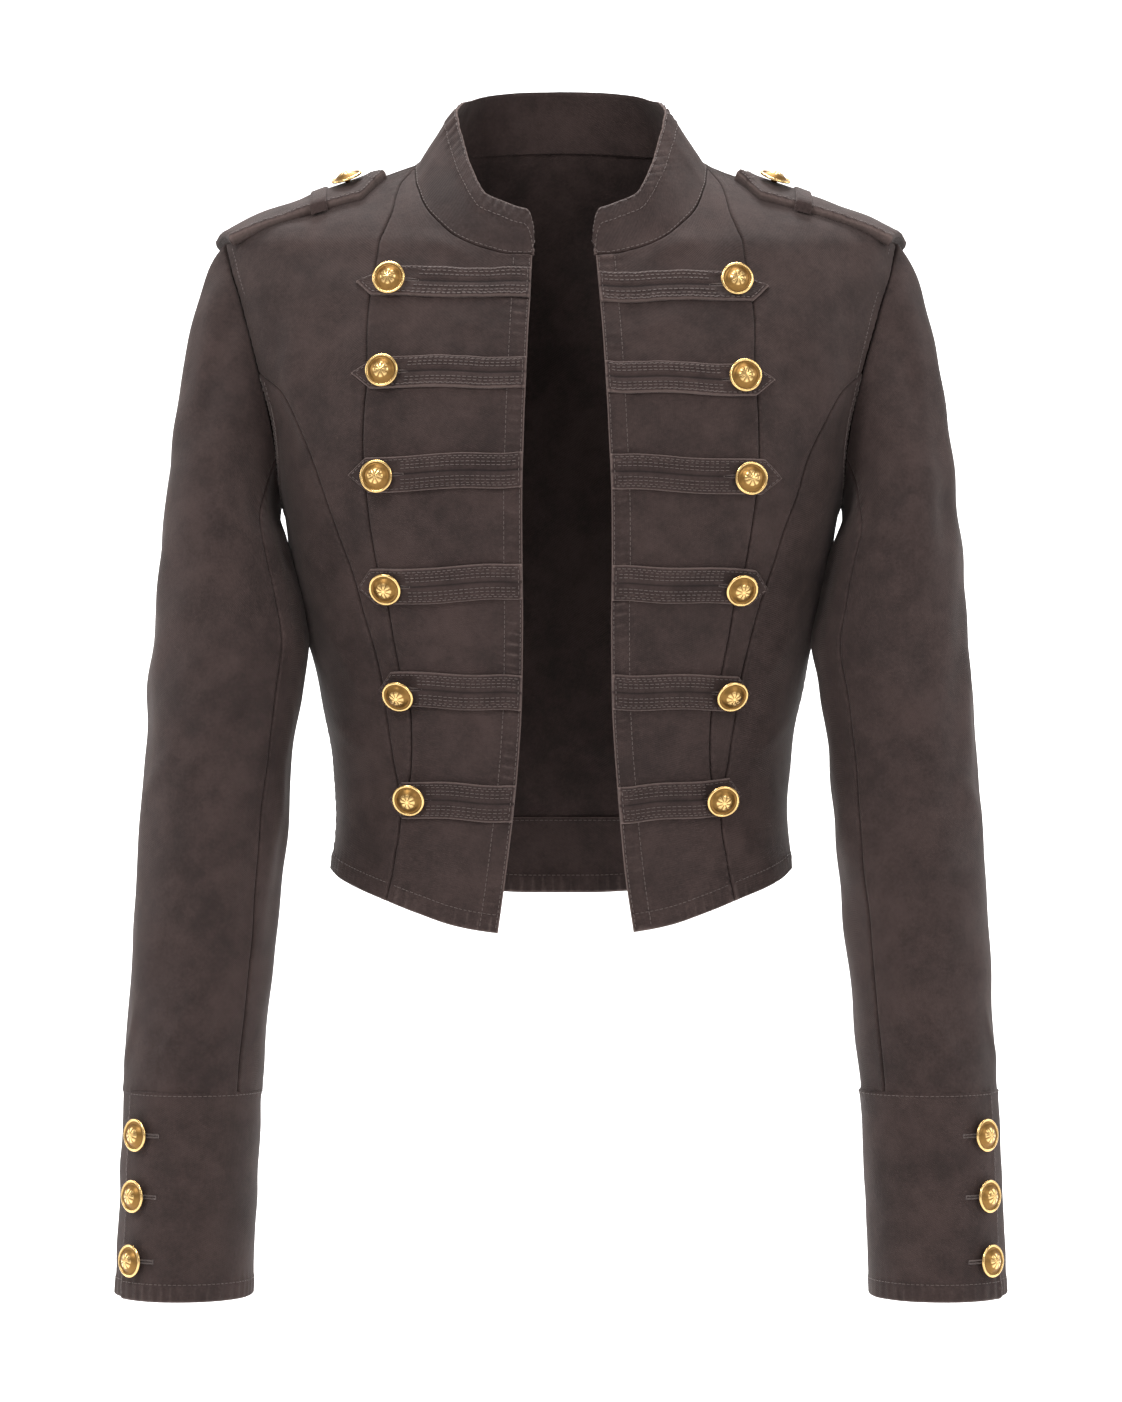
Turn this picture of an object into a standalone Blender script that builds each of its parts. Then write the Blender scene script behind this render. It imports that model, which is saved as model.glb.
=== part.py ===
"""Cropped military jacket, standing as it does on a wearer, with the front open.

Metres, +Z up. +X is the wearer's left, and the front faces -Y. The origin is the middle of the neck at
shoulder level, where the wearer holds the jacket. Tables are in centimetres and degrees.
The body is one smooth form: each level is a rounded oval, and a turn is the angle round it from the
front (0) over the side (90) to the back (180). Panels are patches of that form between seam lines.
"""

import bpy
import numpy as np

CM = 0.01
GAP = 0.0003
WALL = 0.0017
SEAM_INSET = 0.0002

# Levels of the body form, from the hem up: (level, half width, front depth, back depth, squareness)
BODY_FORM = np.array([
    (-46.0, 13.90, 9.8, 7.5, 2.30),
    (-41.0, 13.45, 9.65, 7.1, 2.30),
    (-38.0, 13.20, 9.65, 7.0, 2.30),
    (-35.0, 13.40, 9.8, 7.3, 2.30),
    (-31.0, 14.10, 10.2, 8.0, 2.30),
    (-27.0, 15.00, 10.8, 8.8, 2.35),
    (-23.0, 15.75, 11.5, 9.6, 2.45),
    (-19.5, 16.40, 11.8, 10.2, 2.60),
    (-15.5, 17.20, 11.4, 10.5, 2.80),
    (-12.0, 18.20, 10.4, 10.4, 2.90),
    (-8.5, 19.20, 8.8, 9.8, 2.75),
    (-6.4, 19.70, 7.6, 9.2, 2.60),
    (-5.1, 19.70, 6.9, 8.8, 2.50),
    (-4.3, 19.20, 6.3, 8.5, 2.45),
    (-3.6, 17.80, 5.8, 8.1, 2.40),
    (-2.65, 15.30, 5.0, 7.6, 2.35),
    (-1.7, 12.80, 4.1, 7.0, 2.30),
    (-0.75, 10.20, 3.3, 6.5, 2.30),
    (0.2, 7.95, 2.9, 6.0, 2.30),
    (0.9, 7.35, 3.0, 5.7, 2.30),
    (1.8, 6.90, 3.0, 5.3, 2.30),
])

# Seam lines on the form: (level, turn), from the hem up
SHOULDER_PRINCESS = np.array([
    (-37.6, 50.25), (-35.4, 46.8), (-32.2, 45.6), (-29.7, 47.2), (-26.0, 47.4), (-23.7, 48.4),
    (-19.7, 48.4), (-14.0, 48.2), (-8.6, 53.4), (-6.6, 56.3), (-3.7, 62.0), (-0.45, 79.4),
])
ARMHOLE_PRINCESS = np.array([
    (-37.6, 50.55), (-33.8, 52.4), (-29.8, 53.0), (-25.5, 54.6), (-22.1, 56.9), (-20.0, 58.6),
    (-17.9, 60.2), (-15.8, 63.0), (-13.9, 67.0), (-12.55, 74.7),
])
JOINED_PRINCESS = np.array([(-44.0, 54.9), (-41.5, 52.8), (-39.5, 51.2), (-37.6, 50.4)])
BACK_PRINCESS = np.array([
    (-44.0, 141.0), (-38.0, 143.0), (-32.0, 141.0), (-26.0, 136.0), (-20.0, 127.0),
    (-16.0, 118.0), (-13.4, 110.0), (-12.6, 106.0),
])
# The open front edge leans a little to the wearer's left: (level, turn right, turn left)
FRONT_EDGE = np.array([
    (-44.8, 20.6, 23.6), (-41.1, 18.0, 20.9), (-37.2, 15.3, 18.9), (-31.5, 12.4, 16.1),
    (-23.6, 10.8, 14.2), (-14.5, 10.3, 13.1), (-8.7, 11.2, 14.0), (-5.9, 12.6, 15.2),
])
# Hem and neck lines: (turn, level)
HEM = np.array([
    (0.0, -44.85), (20.0, -44.75), (27.0, -44.60), (35.0, -44.30), (45.0, -43.65), (55.0, -42.95),
    (63.0, -42.45), (73.0, -41.90), (85.0, -41.45), (100.0, -41.50), (125.0, -42.35), (150.0, -42.95),
    (165.0, -43.05), (180.0, -43.05),
])
NECK = np.array([
    (0.0, -6.00), (12.0, -5.98), (20.0, -5.95), (31.0, -5.60), (41.8, -4.92), (53.0, -3.65), (67.0, -1.85),
    (80.0, -0.42), (90.0, 0.20), (110.0, 0.55), (135.0, 0.95), (160.0, 1.15), (180.0, 1.20),
])
# Armhole, every 30 degrees round the sleeve from the shoulder over the front: (turn, level)
ARMHOLE = np.array([
    (90.0, -4.40), (83.4, -5.90), (78.2, -8.90), (74.7, -12.55), (75.4, -15.9), (80.2, -18.7),
    (90.0, -19.8), (99.0, -19.0), (104.6, -16.4), (106.0, -12.60), (103.4, -8.90), (97.4, -5.90),
])
SHOULDER_NECK_TURN = 84.0
SIDE_SEAM_TURN = 92.0
PRINCESS_JOIN = -37.6

# Sleeve levels below the cap: (level, outer side, inner side, front, back)
SLEEVE_FORM = np.array([
    (-22.5, 23.20, 15.95, -8.5, 2.6),
    (-26.0, 23.50, 15.05, -8.6, 2.0),
    (-28.4, 23.65, 14.62, -8.7, 1.7),
    (-31.0, 23.85, 14.98, -8.8, 1.4),
    (-34.4, 24.05, 15.47, -8.8, 1.0),
    (-39.7, 24.40, 15.95, -8.8, 0.6),
    (-45.0, 24.75, 16.45, -8.7, 0.3),
    (-50.0, 25.02, 16.95, -8.5, 0.2),
    (-53.9, 25.22, 17.35, -8.3, 0.2),
    (-66.0, 25.75, 17.95, -8.2, 0.5),
])
# How the cap leaves the armhole, every 90 degrees from the shoulder: (out, forward, up, pull in cm)
CAP_START = np.array([
    (0.86, 0.0, -0.50, 7.0), (0.55, 0.35, -0.75, 9.0), (0.30, 0.0, -0.95, 3.0), (0.55, -0.40, -0.72, 9.0),
])
CAP_END_PULL = np.array([17.0, 10.0, 3.0, 10.0])
CAP_ROWS = 5
SLEEVE_ROWS = 10
SLEEVE_INSET = 0.0003
SLEEVE_STEP = 15
FRONT_SLEEVE_SEAM = 135
BACK_SLEEVE_SEAM = 285

CUFF_TOP = -53.9
CUFF_BOTTOM = -65.9
CUFF_WALL = 0.0022
CUFF_PROUD = 0.0008
CUFF_EDGE_TURN = 30.0
CUFF_OVERLAP = 26.0
CUFF_ROWS = 3
CUFF_BUTTON_TURN = 47.0
CUFF_BUTTON_LEVELS = (-56.4, -59.9, -63.6)

# Collar: (turn, height up the cloth, lean towards the neck)
COLLAR = np.array([
    (12.0, 2.85, 19.0), (22.0, 3.15, 22.0), (32.0, 3.38, 27.4), (38.0, 3.42, 28.6), (43.0, 3.80, 29.8),
    (50.0, 4.15, 33.7), (60.0, 4.38, 38.5), (72.0, 4.32, 37.0), (90.0, 4.05, 32.0), (110.0, 3.95, 29.0),
    (130.0, 3.85, 21.0), (155.0, 3.75, 13.0), (180.0, 3.72, 11.0),
])
COLLAR_WALL = 0.0020
COLLAR_GAP = 0.0006
COLLAR_CENTRE = -0.5
COLLAR_ROUNDING = 5.5
COLLAR_ROWS = 4

# Front tabs, top to bottom: (inner level, tip turn, tip level, half height, button turn, button level)
TABS_RIGHT = np.array([
    (-7.72, 57.4, -7.62, 0.86, 51.2, -7.62),
    (-12.97, 51.4, -12.92, 0.90, 45.2, -12.90),
    (-18.50, 51.7, -18.75, 1.00, 44.8, -18.82),
    (-24.77, 54.0, -25.11, 1.00, 46.2, -25.05),
    (-31.10, 53.5, -30.85, 1.00, 47.0, -31.05),
    (-37.40, 53.7, -37.14, 1.05, 46.6, -37.05),
])
TABS_LEFT = np.array([
    (-8.02, 57.5, -7.82, 0.86, 51.8, -7.68),
    (-13.23, 52.1, -13.37, 0.90, 46.0, -13.18),
    (-18.62, 53.5, -18.92, 1.00, 46.0, -18.93),
    (-24.86, 55.1, -25.10, 1.00, 47.5, -25.10),
    (-31.04, 55.8, -31.08, 1.00, 49.3, -31.05),
    (-37.49, 56.4, -36.95, 1.05, 49.4, -37.10),
])
# How each front button faces: (degrees out to the side, degrees up)
BUTTON_FACES = ((10.0, 9.0), (11.0, 4.0), (11.0, 0.0), (16.0, -22.0), (20.0, -29.0), (14.0, -20.0))
TAB_WALL = 0.0016
TAB_LIFT = 0.0006
TAB_POINT = 4.2
TAB_INSET = 0.15
TAB_TIP_WIDTH = 0.06
TAB_COLUMNS = 9

# Buttons are turned shapes: (radius, height) in millimetres from the shank's foot, shell on a long neck
BUTTON_RADIUS = 0.0095
SHANK_RADIUS = 0.0020
BUTTON_SHELL = np.array([(2.0, 0.0), (8.9, 0.0), (9.5, 0.9), (8.6, 1.7), (7.2, 1.2), (4.6, 3.2), (0.0, 4.1)])
BUTTON_SIDES = 10
SHELL_CLEARANCE = 0.0009
SHORTEST_SHANK = 0.0022

EPAULETTE_TIP = 10.15
EPAULETTE_END = 19.6
EPAULETTE_END_SLANT = 0.5
EPAULETTE_DROOP = 0.40
EPAULETTE_STRAIGHT = 16.5
EPAULETTE_HALF_WIDTH = 1.85
EPAULETTE_MIDDLE = -1.55
EPAULETTE_POINT = 1.35
EPAULETTE_ROWS = 8
EPAULETTE_WALL = 0.0030
EPAULETTE_LIFT = 0.0012
EPAULETTE_BUTTON = 12.25
KEEPER_PLACE = 13.95
KEEPER_HALF_WIDTH = 0.48
KEEPER_WALL = 0.0012

FACING_WALL = 0.0012
FACING_TOP = -38.5
FACING_TURN = 139.0

CLOTH_COLOUR = (0.048, 0.032, 0.028, 1.0)
BRASS_COLOUR = (0.62, 0.40, 0.13, 1.0)


def smooth_line(knots, values):
    """A smooth function through the points, which never swings past its neighbours (monotone cubic)."""
    step = np.diff(knots)
    slope = np.diff(values) / step
    tangent = np.concatenate([slope[:1], np.zeros(len(slope) - 1), slope[-1:]])
    rising = slope[:-1] * slope[1:] > 0
    before, after = slope[:-1][rising], slope[1:][rising]
    long, short = 2 * step[1:][rising] + step[:-1][rising], step[1:][rising] + 2 * step[:-1][rising]
    tangent[1:-1][rising] = (long + short) / (long / before + short / after)

    def at(x):
        x = np.clip(np.asarray(x, float), knots[0], knots[-1])
        i = np.clip(np.searchsorted(knots, x) - 1, 0, len(step) - 1)
        t = (x - knots[i]) / step[i]
        ends = (1 + 2 * t) * (1 - t) ** 2 * values[i] + t * t * (3 - 2 * t) * values[i + 1]
        turns = t * (1 - t) ** 2 * tangent[i] - t * t * (1 - t) * tangent[i + 1]
        return ends + step[i] * turns

    return at


def closed_line(values):
    """A smooth loop through evenly spaced values, as a function of degrees (Catmull-Rom)."""
    values = np.asarray(values, float)
    span = 360 / len(values)

    def at(angle):
        place = np.asarray(angle, float) % 360 / span
        i = np.floor(place).astype(int)
        t = place - i
        a, b, c, d = (values[(i + k) % len(values)] for k in (-1, 0, 1, 2))
        return b + t / 2 * (c - a + t * (2 * a - 5 * b + 4 * c - d + t * (3 * (b - c) + d - a)))

    return at


body_columns = [smooth_line(BODY_FORM[:, 0], BODY_FORM[:, k]) for k in (1, 2, 3, 4)]
hem_level = smooth_line(HEM[:, 0], HEM[:, 1])
neck_level = smooth_line(NECK[:, 0], NECK[:, 1])
armhole_turn = closed_line(ARMHOLE[:, 0])
armhole_level = closed_line(ARMHOLE[:, 1])


def body(turn, level):
    """Point of the body form: an oval's radius at this turn, at this level."""
    angle = np.radians(turn)
    half_width, front, back, square = (column(level) for column in body_columns)
    depth = np.where(np.cos(angle) > 0, front, back)
    across = np.abs(np.sin(angle)) / half_width
    along = np.abs(np.cos(angle)) / depth
    radius = (across**square + along**square) ** (-1 / square)
    return np.stack([radius * np.sin(angle), -radius * np.cos(angle), level + 0 * radius], -1) * CM


def unit(vectors):
    return vectors / np.linalg.norm(vectors, axis=-1, keepdims=True)


def facing(form, u, v, step=0.05):
    """Outward normal of a form at (u, v), from the points a small step to each side."""
    along_u = form(u + step, v) - form(u - step, v)
    along_v = form(u, v + step) - form(u, v - step)
    return unit(np.cross(along_u, along_v))


def moved_out(form, u, v, distance):
    return form(u, v) + facing(form, u, v) * np.asarray(distance)[..., None]


def patch(left, right, bottom, top):
    """Grid of (turn, level) filled smoothly between four edges, each a list of such pairs (Coons patch)."""
    left, right, bottom, top = (np.asarray(edge, float) for edge in (left, right, bottom, top))
    t = np.linspace(0, 1, len(left))[:, None, None]
    s = np.linspace(0, 1, len(bottom))[None, :, None]
    sides = (1 - s) * left[:, None] + s * right[:, None]
    ends = (1 - t) * bottom[None] + t * top[None]
    low = (1 - s) * bottom[0] + s * bottom[-1]
    high = (1 - s) * top[0] + s * top[-1]
    return sides + ends - (1 - t) * low - t * high


def drawn_in(points, distance=SEAM_INSET):
    """Moves a grid's four edges in by a distance, which leaves half of the seam gap on each side."""
    moved = points.copy()
    moved[0] += unit(points[1] - points[0]) * distance
    moved[-1] += unit(points[-2] - points[-1]) * distance
    moved[:, 0] += unit(points[:, 1] - points[:, 0]) * distance
    moved[:, -1] += unit(points[:, -2] - points[:, -1]) * distance
    return moved


def add_solid(name, points, faces, material):
    """One object from points and faces, turned so that the faces point out."""
    triangles = np.array([(f[0], f[k], f[k + 1]) for f in faces for k in range(1, len(f) - 1)])
    volume = np.einsum("ij,ij->i", points[triangles[:, 0]],
                       np.cross(points[triangles[:, 1]], points[triangles[:, 2]])).sum()
    if volume < 0:
        faces = [tuple(reversed(face)) for face in faces]
    mesh = bpy.data.meshes.new(name)
    mesh.from_pydata(points.tolist(), [], faces)
    mesh.shade_smooth()
    mesh.set_sharp_from_angle(angle=np.radians(40))
    mesh.materials.append(material)
    solid = bpy.data.objects.new(name, mesh)
    bpy.context.scene.collection.objects.link(solid)
    return solid


def add_wall(name, outer, inner, material):
    """A cloth wall between an outer and an inner grid, closed by a strip round the rim."""
    rows, columns = outer.shape[:2]
    index = np.arange(rows * columns).reshape(rows, columns)
    quads = np.stack([index[:-1, :-1], index[:-1, 1:], index[1:, 1:], index[1:, :-1]], -1).reshape(-1, 4)
    back = quads[:, ::-1] + rows * columns
    rim = np.concatenate([index[0], index[1:, -1], index[-1, -2::-1], index[-2:0:-1, 0]])
    onward = np.roll(rim, -1)
    strip = np.stack([onward, rim, rim + rows * columns, onward + rows * columns], -1)
    points = np.concatenate([outer.reshape(-1, 3), inner.reshape(-1, 3)])
    faces = [tuple(map(int, face)) for face in np.concatenate([quads, back, strip])]
    return add_solid(name, points, faces, material)


def add_layer(name, side, grid, low, high, material, inset=SEAM_INSET):
    """A wall over a grid of the body form, between two heights above its surface.

    The side is 1 for the wearer's left, where turns count up, and -1 for its mirror image.
    """
    u, v = grid[..., 0], grid[..., 1]
    outer, inner = (drawn_in(moved_out(body, u, v, height + 0 * u), inset) for height in (high, low))
    return add_wall(name, outer * (side, 1, 1), inner * (side, 1, 1), material)


def pairs(turns, levels):
    turns, levels = np.broadcast_arrays(np.asarray(turns, float), np.asarray(levels, float))
    return np.stack([turns, levels], -1)


def body_rows():
    """Levels of the rows of points: waist up to the armhole, up the armhole, and up the shoulder."""
    low = np.linspace(PRINCESS_JOIN, ARMHOLE_PRINCESS[-1, 0], 9)
    armhole = armhole_level(np.arange(90, -1, -SLEEVE_STEP))
    shoulder = np.linspace(0, 1, 5)[1:]
    return low, armhole, shoulder


def shoulder_seam(steps):
    """The shoulder seam from its tip at the armhole to the neck."""
    tip, neck = (90.0, ARMHOLE[0, 1]), (SHOULDER_NECK_TURN, neck_level(SHOULDER_NECK_TURN))
    return pairs(tip[0] + (neck[0] - tip[0]) * steps, tip[1] + (neck[1] - tip[1]) * steps)


def below_the_join(line, hem_turn):
    """The rows of a seam from the hem up to just below the level where the princess seams join."""
    start = float(hem_level(hem_turn))
    levels = start + (PRINCESS_JOIN - start) * np.arange(3) / 3
    return pairs(line(levels), levels)


def neck_columns(edge):
    """Turns of the points along the neck: centre front, side front, then half of the back."""
    front_end, princess_end = float(edge(FRONT_EDGE[-1, 0])), SHOULDER_PRINCESS[-1, 1]
    return np.concatenate([
        np.linspace(front_end, princess_end, 9), np.linspace(princess_end, SHOULDER_NECK_TURN, 6)[1:],
        np.linspace(SHOULDER_NECK_TURN, 180, 9)[1:]])


def add_body_panels(cloth):
    """Nine panels: centre fronts, side fronts, side panels, side backs and one back."""
    low, armhole, shoulder = body_rows()
    princess = smooth_line(SHOULDER_PRINCESS[:, 0], SHOULDER_PRINCESS[:, 1])
    armhole_princess = smooth_line(ARMHOLE_PRINCESS[:, 0], ARMHOLE_PRINCESS[:, 1])
    joined = smooth_line(JOINED_PRINCESS[:, 0], JOINED_PRINCESS[:, 1])
    back_princess = smooth_line(BACK_PRINCESS[:, 0], BACK_PRINCESS[:, 1])
    neck_start = SHOULDER_PRINCESS[-1]
    climb = armhole[-1] + (neck_start[0] - armhole[-1]) * shoulder
    rows = np.concatenate([low, armhole[1:], climb])
    seam = pairs(princess(rows), rows)
    seam_foot = below_the_join(joined, joined(-43.0))
    side_line = pairs(armhole_princess(low), low)
    front_hole = pairs(armhole_turn(np.arange(90, -1, -SLEEVE_STEP)), armhole)

    for side, label, column in ((1, "left", 2), (-1, "right", 1)):
        edge = smooth_line(FRONT_EDGE[:, 0], FRONT_EDGE[:, column])
        right = np.concatenate([seam_foot, seam])
        start = float(hem_level(edge(-44.6)))
        end = float(neck_level(edge(FRONT_EDGE[-1, 0])))
        levels = start + (end - start) * np.linspace(0, 1, len(right))
        left = pairs(edge(levels), levels)
        turns = np.linspace(left[0, 0], right[0, 0], 9)
        bottom = pairs(turns, hem_level(turns))
        turns = neck_columns(edge)[:9]
        top = pairs(turns, neck_level(turns))
        add_layer(f"centre_front_{label}", side, patch(left, right, bottom, top), -WALL, 0, cloth)

        right = np.concatenate([side_line, front_hole[1:], shoulder_seam(shoulder)])
        bottom = pairs(np.linspace(seam[0, 0], right[0, 0], 6), PRINCESS_JOIN)
        turns = neck_columns(edge)[8:14]
        grid = patch(seam, right, bottom, pairs(turns, neck_level(turns)))
        add_layer(f"side_front_{label}", side, grid, -WALL, 0, cloth)

        left = np.concatenate([seam_foot, side_line])
        side_foot = float(hem_level(SIDE_SEAM_TURN))
        climbing = np.linspace(0, 1, len(left))
        side_seam = pairs(SIDE_SEAM_TURN + (90 - SIDE_SEAM_TURN) * climbing,
                          side_foot + (ARMHOLE[6, 1] - side_foot) * climbing)
        turns = np.linspace(left[0, 0], SIDE_SEAM_TURN, 7)
        hole = np.arange(90, 181, SLEEVE_STEP)
        grid = patch(left, side_seam, pairs(turns, hem_level(turns)), pairs(armhole_turn(hole), armhole_level(hole)))
        add_layer(f"side_panel_{label}", side, grid, -WALL, 0, cloth)

        right = np.concatenate([below_the_join(back_princess, 141.0), pairs(back_princess(low), low)])
        turns = np.linspace(SIDE_SEAM_TURN, right[0, 0], 7)
        hole = np.arange(180, 271, SLEEVE_STEP)
        grid = patch(side_seam, right, pairs(turns, hem_level(turns)), pairs(armhole_turn(hole), armhole_level(hole)))
        add_layer(f"side_back_{label}", side, grid, -WALL, 0, cloth)

    hole = np.arange(270 + SLEEVE_STEP, 361, SLEEVE_STEP)
    left = np.concatenate([right, pairs(armhole_turn(hole), armhole_level(hole)), shoulder_seam(shoulder)])
    turns = np.linspace(left[0, 0], 360 - left[0, 0], 17)
    bottom = pairs(turns, hem_level(180 - np.abs(turns - 180)))
    turns = np.linspace(SHOULDER_NECK_TURN, 360 - SHOULDER_NECK_TURN, 17)
    top = pairs(turns, neck_level(180 - np.abs(turns - 180)))
    other = left * (-1, 1) + (360, 0)
    add_layer("back", 1, patch(left, other, bottom, top), -WALL, 0, cloth)


def add_hem_facing(cloth):
    """The turned-up band inside the back hem."""
    turns = np.linspace(FACING_TURN, 360 - FACING_TURN, 15)
    foot = hem_level(180 - np.abs(turns - 180)) + 0.05
    share = np.linspace(0, 1, 4)[:, None]
    grid = np.stack([np.broadcast_to(turns, (4, 15)), foot + (FACING_TOP - foot) * share], -1)
    add_layer("back_hem_facing", 1, grid, -WALL - GAP - FACING_WALL, -WALL - GAP, cloth)


def collar_point(end_turn):
    """The collar's outer face on the left, as a function of turn and of the share of its height.

    The base follows the neck line, and the cloth rises from it, leaning towards the neck. Near the
    front end the height falls off as a quarter of an ellipse, which rounds the corner.
    """
    height = smooth_line(COLLAR[:, 0], COLLAR[:, 1])
    lean = smooth_line(COLLAR[:, 0], COLLAR[:, 2])

    def at(turn, share):
        base = body(turn, neck_level(turn))
        centre = np.array([0, COLLAR_CENTRE * CM, 0])
        inward = unit((centre - base) * (1, 1, 0))
        tilt = np.radians(lean(turn))[..., None]
        near = np.clip(1 - (turn - end_turn) / COLLAR_ROUNDING, 0, 1)
        rounded = 0.42 + 0.58 * np.sqrt(1 - near**2)
        rise = (height(turn) * rounded * share * CM)[..., None]
        up = np.array([0, 0, 1.0])
        return base + up * COLLAR_GAP + rise * (up * np.cos(tilt) + inward * np.sin(tilt))

    return at


def add_collar(cloth):
    """The stand collar, one band from front end to front end."""
    share = np.linspace(0, 1, COLLAR_ROWS + 1)[:, None]
    halves = []
    for side, column in ((-1, 1), (1, 2)):
        turns = neck_columns(smooth_line(FRONT_EDGE[:, 0], FRONT_EDGE[:, column]))
        end_turn = turns[0] - 0.3
        near_end = end_turn + COLLAR_ROUNDING * (1 - np.cos(np.radians([0, 30, 55, 75])))
        halfway = (turns[13:-1] + turns[14:]) / 2
        turns = np.sort(np.concatenate([near_end, [end_turn + COLLAR_ROUNDING], turns[1:9], turns[13:], halfway]))
        point = collar_point(end_turn)
        grid = np.broadcast_arrays(turns[None], share)
        outer = point(*grid)
        normal = unit(np.cross(point(grid[0] + 0.05, grid[1]) - point(grid[0] - 0.05, grid[1]),
                               point(grid[0], 1.0 + 0 * grid[0]) - point(grid[0], 0 * grid[0])))
        outward = outer * (1, 1, 0) - (0, COLLAR_CENTRE * CM, 0)
        normal *= np.sign(np.einsum("ijk,ijk->ij", normal, outward))[..., None]
        halves.append((outer * (side, 1, 1), (outer - normal * COLLAR_WALL) * (side, 1, 1)))
    outer = np.concatenate([halves[0][0], halves[1][0][:, -2::-1]], 1)
    inner = np.concatenate([halves[0][1], halves[1][1][:, -2::-1]], 1)
    add_wall("collar", outer, inner, cloth)


def sleeve(angle, run):
    """Point of the left sleeve. The angle goes from its outer side (0) over the front (90).

    Run 0 to 1 is the cap: a curve from the armhole, in the direction that the table gives, down to
    the first level of the sleeve. From 1 on, each whole number is the next level of the table.
    """
    angle, run = np.broadcast_arrays(np.asarray(angle, float), np.asarray(run, float))
    steps = np.arange(len(SLEEVE_FORM))
    level, outside, inside, front, back = (
        smooth_line(steps, SLEEVE_FORM[:, k])(np.maximum(run - 1, 0)) for k in range(5))
    turn = np.radians(angle)
    tube = np.stack([
        (outside + inside) / 2 + (outside - inside) / 2 * np.cos(turn),
        (front + back) / 2 - (back - front) / 2 * np.sin(turn),
        level + 0 * turn], -1) * CM
    hole = body(armhole_turn(angle), armhole_level(angle))
    start = np.stack([closed_line(CAP_START[:, k])(angle) for k in (0, 1, 2)], -1) * (1, -1, 1)
    start = unit(start)
    hole = hole + start * GAP
    t = np.clip(run, 0, 1)[..., None]
    leave = start * closed_line(CAP_START[:, 3])(angle)[..., None] * CM
    arrive = np.array([0.09, -0.02, -1.0]) * closed_line(CAP_END_PULL)(angle)[..., None] * CM
    cap = ((1 + 2 * t) * (1 - t) ** 2 * hole + t * (1 - t) ** 2 * leave
           + t * t * (3 - 2 * t) * tube - t * t * (1 - t) * arrive)
    return np.where(run[..., None] < 1, cap, tube)


def sleeve_run(level):
    """The sleeve's run at a level below the cap, read back from closely spaced runs."""
    steps = np.arange(len(SLEEVE_FORM))
    fine = np.linspace(0, steps[-1], 30 * steps[-1] + 1)
    return 1 + np.interp(-np.asarray(level), -smooth_line(steps, SLEEVE_FORM[:, 0])(fine), fine)


def sleeve_grid(angles, runs):
    """Points of the left sleeve over angles and runs, and the normals that point out of it."""
    run, angle = np.meshgrid(runs, angles, indexing="ij")
    across = sleeve(angle + 0.5, run) - sleeve(angle - 0.5, run)
    along = sleeve(angle, run + 0.02) - sleeve(angle, np.maximum(run - 0.02, 0))
    return sleeve(angle, run), unit(np.cross(across, along))


def add_sleeves(cloth):
    """Two-piece sleeves: the top sleeve over the outer side, the under sleeve below it."""
    last = float(sleeve_run(CUFF_TOP)) - 0.004
    runs = np.concatenate([np.linspace(0, 1, CAP_ROWS, endpoint=False), np.linspace(1, last, SLEEVE_ROWS)])
    pieces = (("top_sleeve", BACK_SLEEVE_SEAM - 360, FRONT_SLEEVE_SEAM),
              ("under_sleeve", FRONT_SLEEVE_SEAM, BACK_SLEEVE_SEAM))
    for name, first, final in pieces:
        points, outward = sleeve_grid(np.arange(first, final + 1, SLEEVE_STEP), runs)
        outer, inner = (drawn_in(grid, SLEEVE_INSET) for grid in (points, points - outward * WALL))
        for side, label in ((1, "left"), (-1, "right")):
            add_wall(f"{name}_{label}", outer * (side, 1, 1), inner * (side, 1, 1), cloth)


def add_cuffs(cloth):
    """Each cuff wraps once round and under itself, with its free edge at the outer side of the front."""
    runs = sleeve_run(np.linspace(CUFF_TOP, CUFF_BOTTOM, CUFF_ROWS + 1))
    runs[0] += 0.0035
    angles = np.concatenate([np.linspace(CUFF_EDGE_TURN + CUFF_OVERLAP, CUFF_EDGE_TURN, 3),
                             np.linspace(CUFF_EDGE_TURN, CUFF_EDGE_TURN - 360, 25)[1:]])
    travelled = angles[0] - angles
    tucked = np.clip((2 * CUFF_OVERLAP + 8 - travelled) / CUFF_OVERLAP, 0, 1)
    tucked = tucked * tucked * (3 - 2 * tucked) * (CUFF_WALL + 1.6 * GAP)
    points, outward = sleeve_grid(angles, runs)
    outer = points + outward * (CUFF_PROUD - tucked)[:, None]
    inner = outer - outward * CUFF_WALL
    for side, label in ((1, "left"), (-1, "right")):
        add_wall(f"cuff_{label}", outer * (side, 1, 1), inner * (side, 1, 1), cloth)


def tab_grid(edge, row):
    """Grid of (turn, level) of a tab, from the slanting front edge to its point."""
    inner_level, tip_turn, tip_level, half, _, _ = row
    start = float(edge(inner_level))
    shoulder = 1 - TAB_POINT / (tip_turn - start)
    lengths = np.append(np.linspace(0, shoulder, TAB_COLUMNS), [(1 + shoulder) / 2, 1])
    length, height = np.meshgrid(lengths, (-1, 0, 1))
    narrowing = np.clip((1 - length) / (1 - shoulder), TAB_TIP_WIDTH / half, 1)
    level = inner_level + (tip_level - inner_level) * length + height * half * narrowing
    begin = edge(level) + TAB_INSET
    return np.stack([begin + (tip_turn - begin) * length, level], -1)


def add_tabs(cloth):
    """Six tabs on each front, made from the body form, moved out."""
    for side, label, column, table in ((1, "left", 2, TABS_LEFT), (-1, "right", 1, TABS_RIGHT)):
        edge = smooth_line(FRONT_EDGE[:, 0], FRONT_EDGE[:, column])
        for number, row in enumerate(table, 1):
            add_layer(f"tab_{label}_{number}", side, tab_grid(edge, row), TAB_LIFT, TAB_LIFT + TAB_WALL, cloth, 0)


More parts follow.
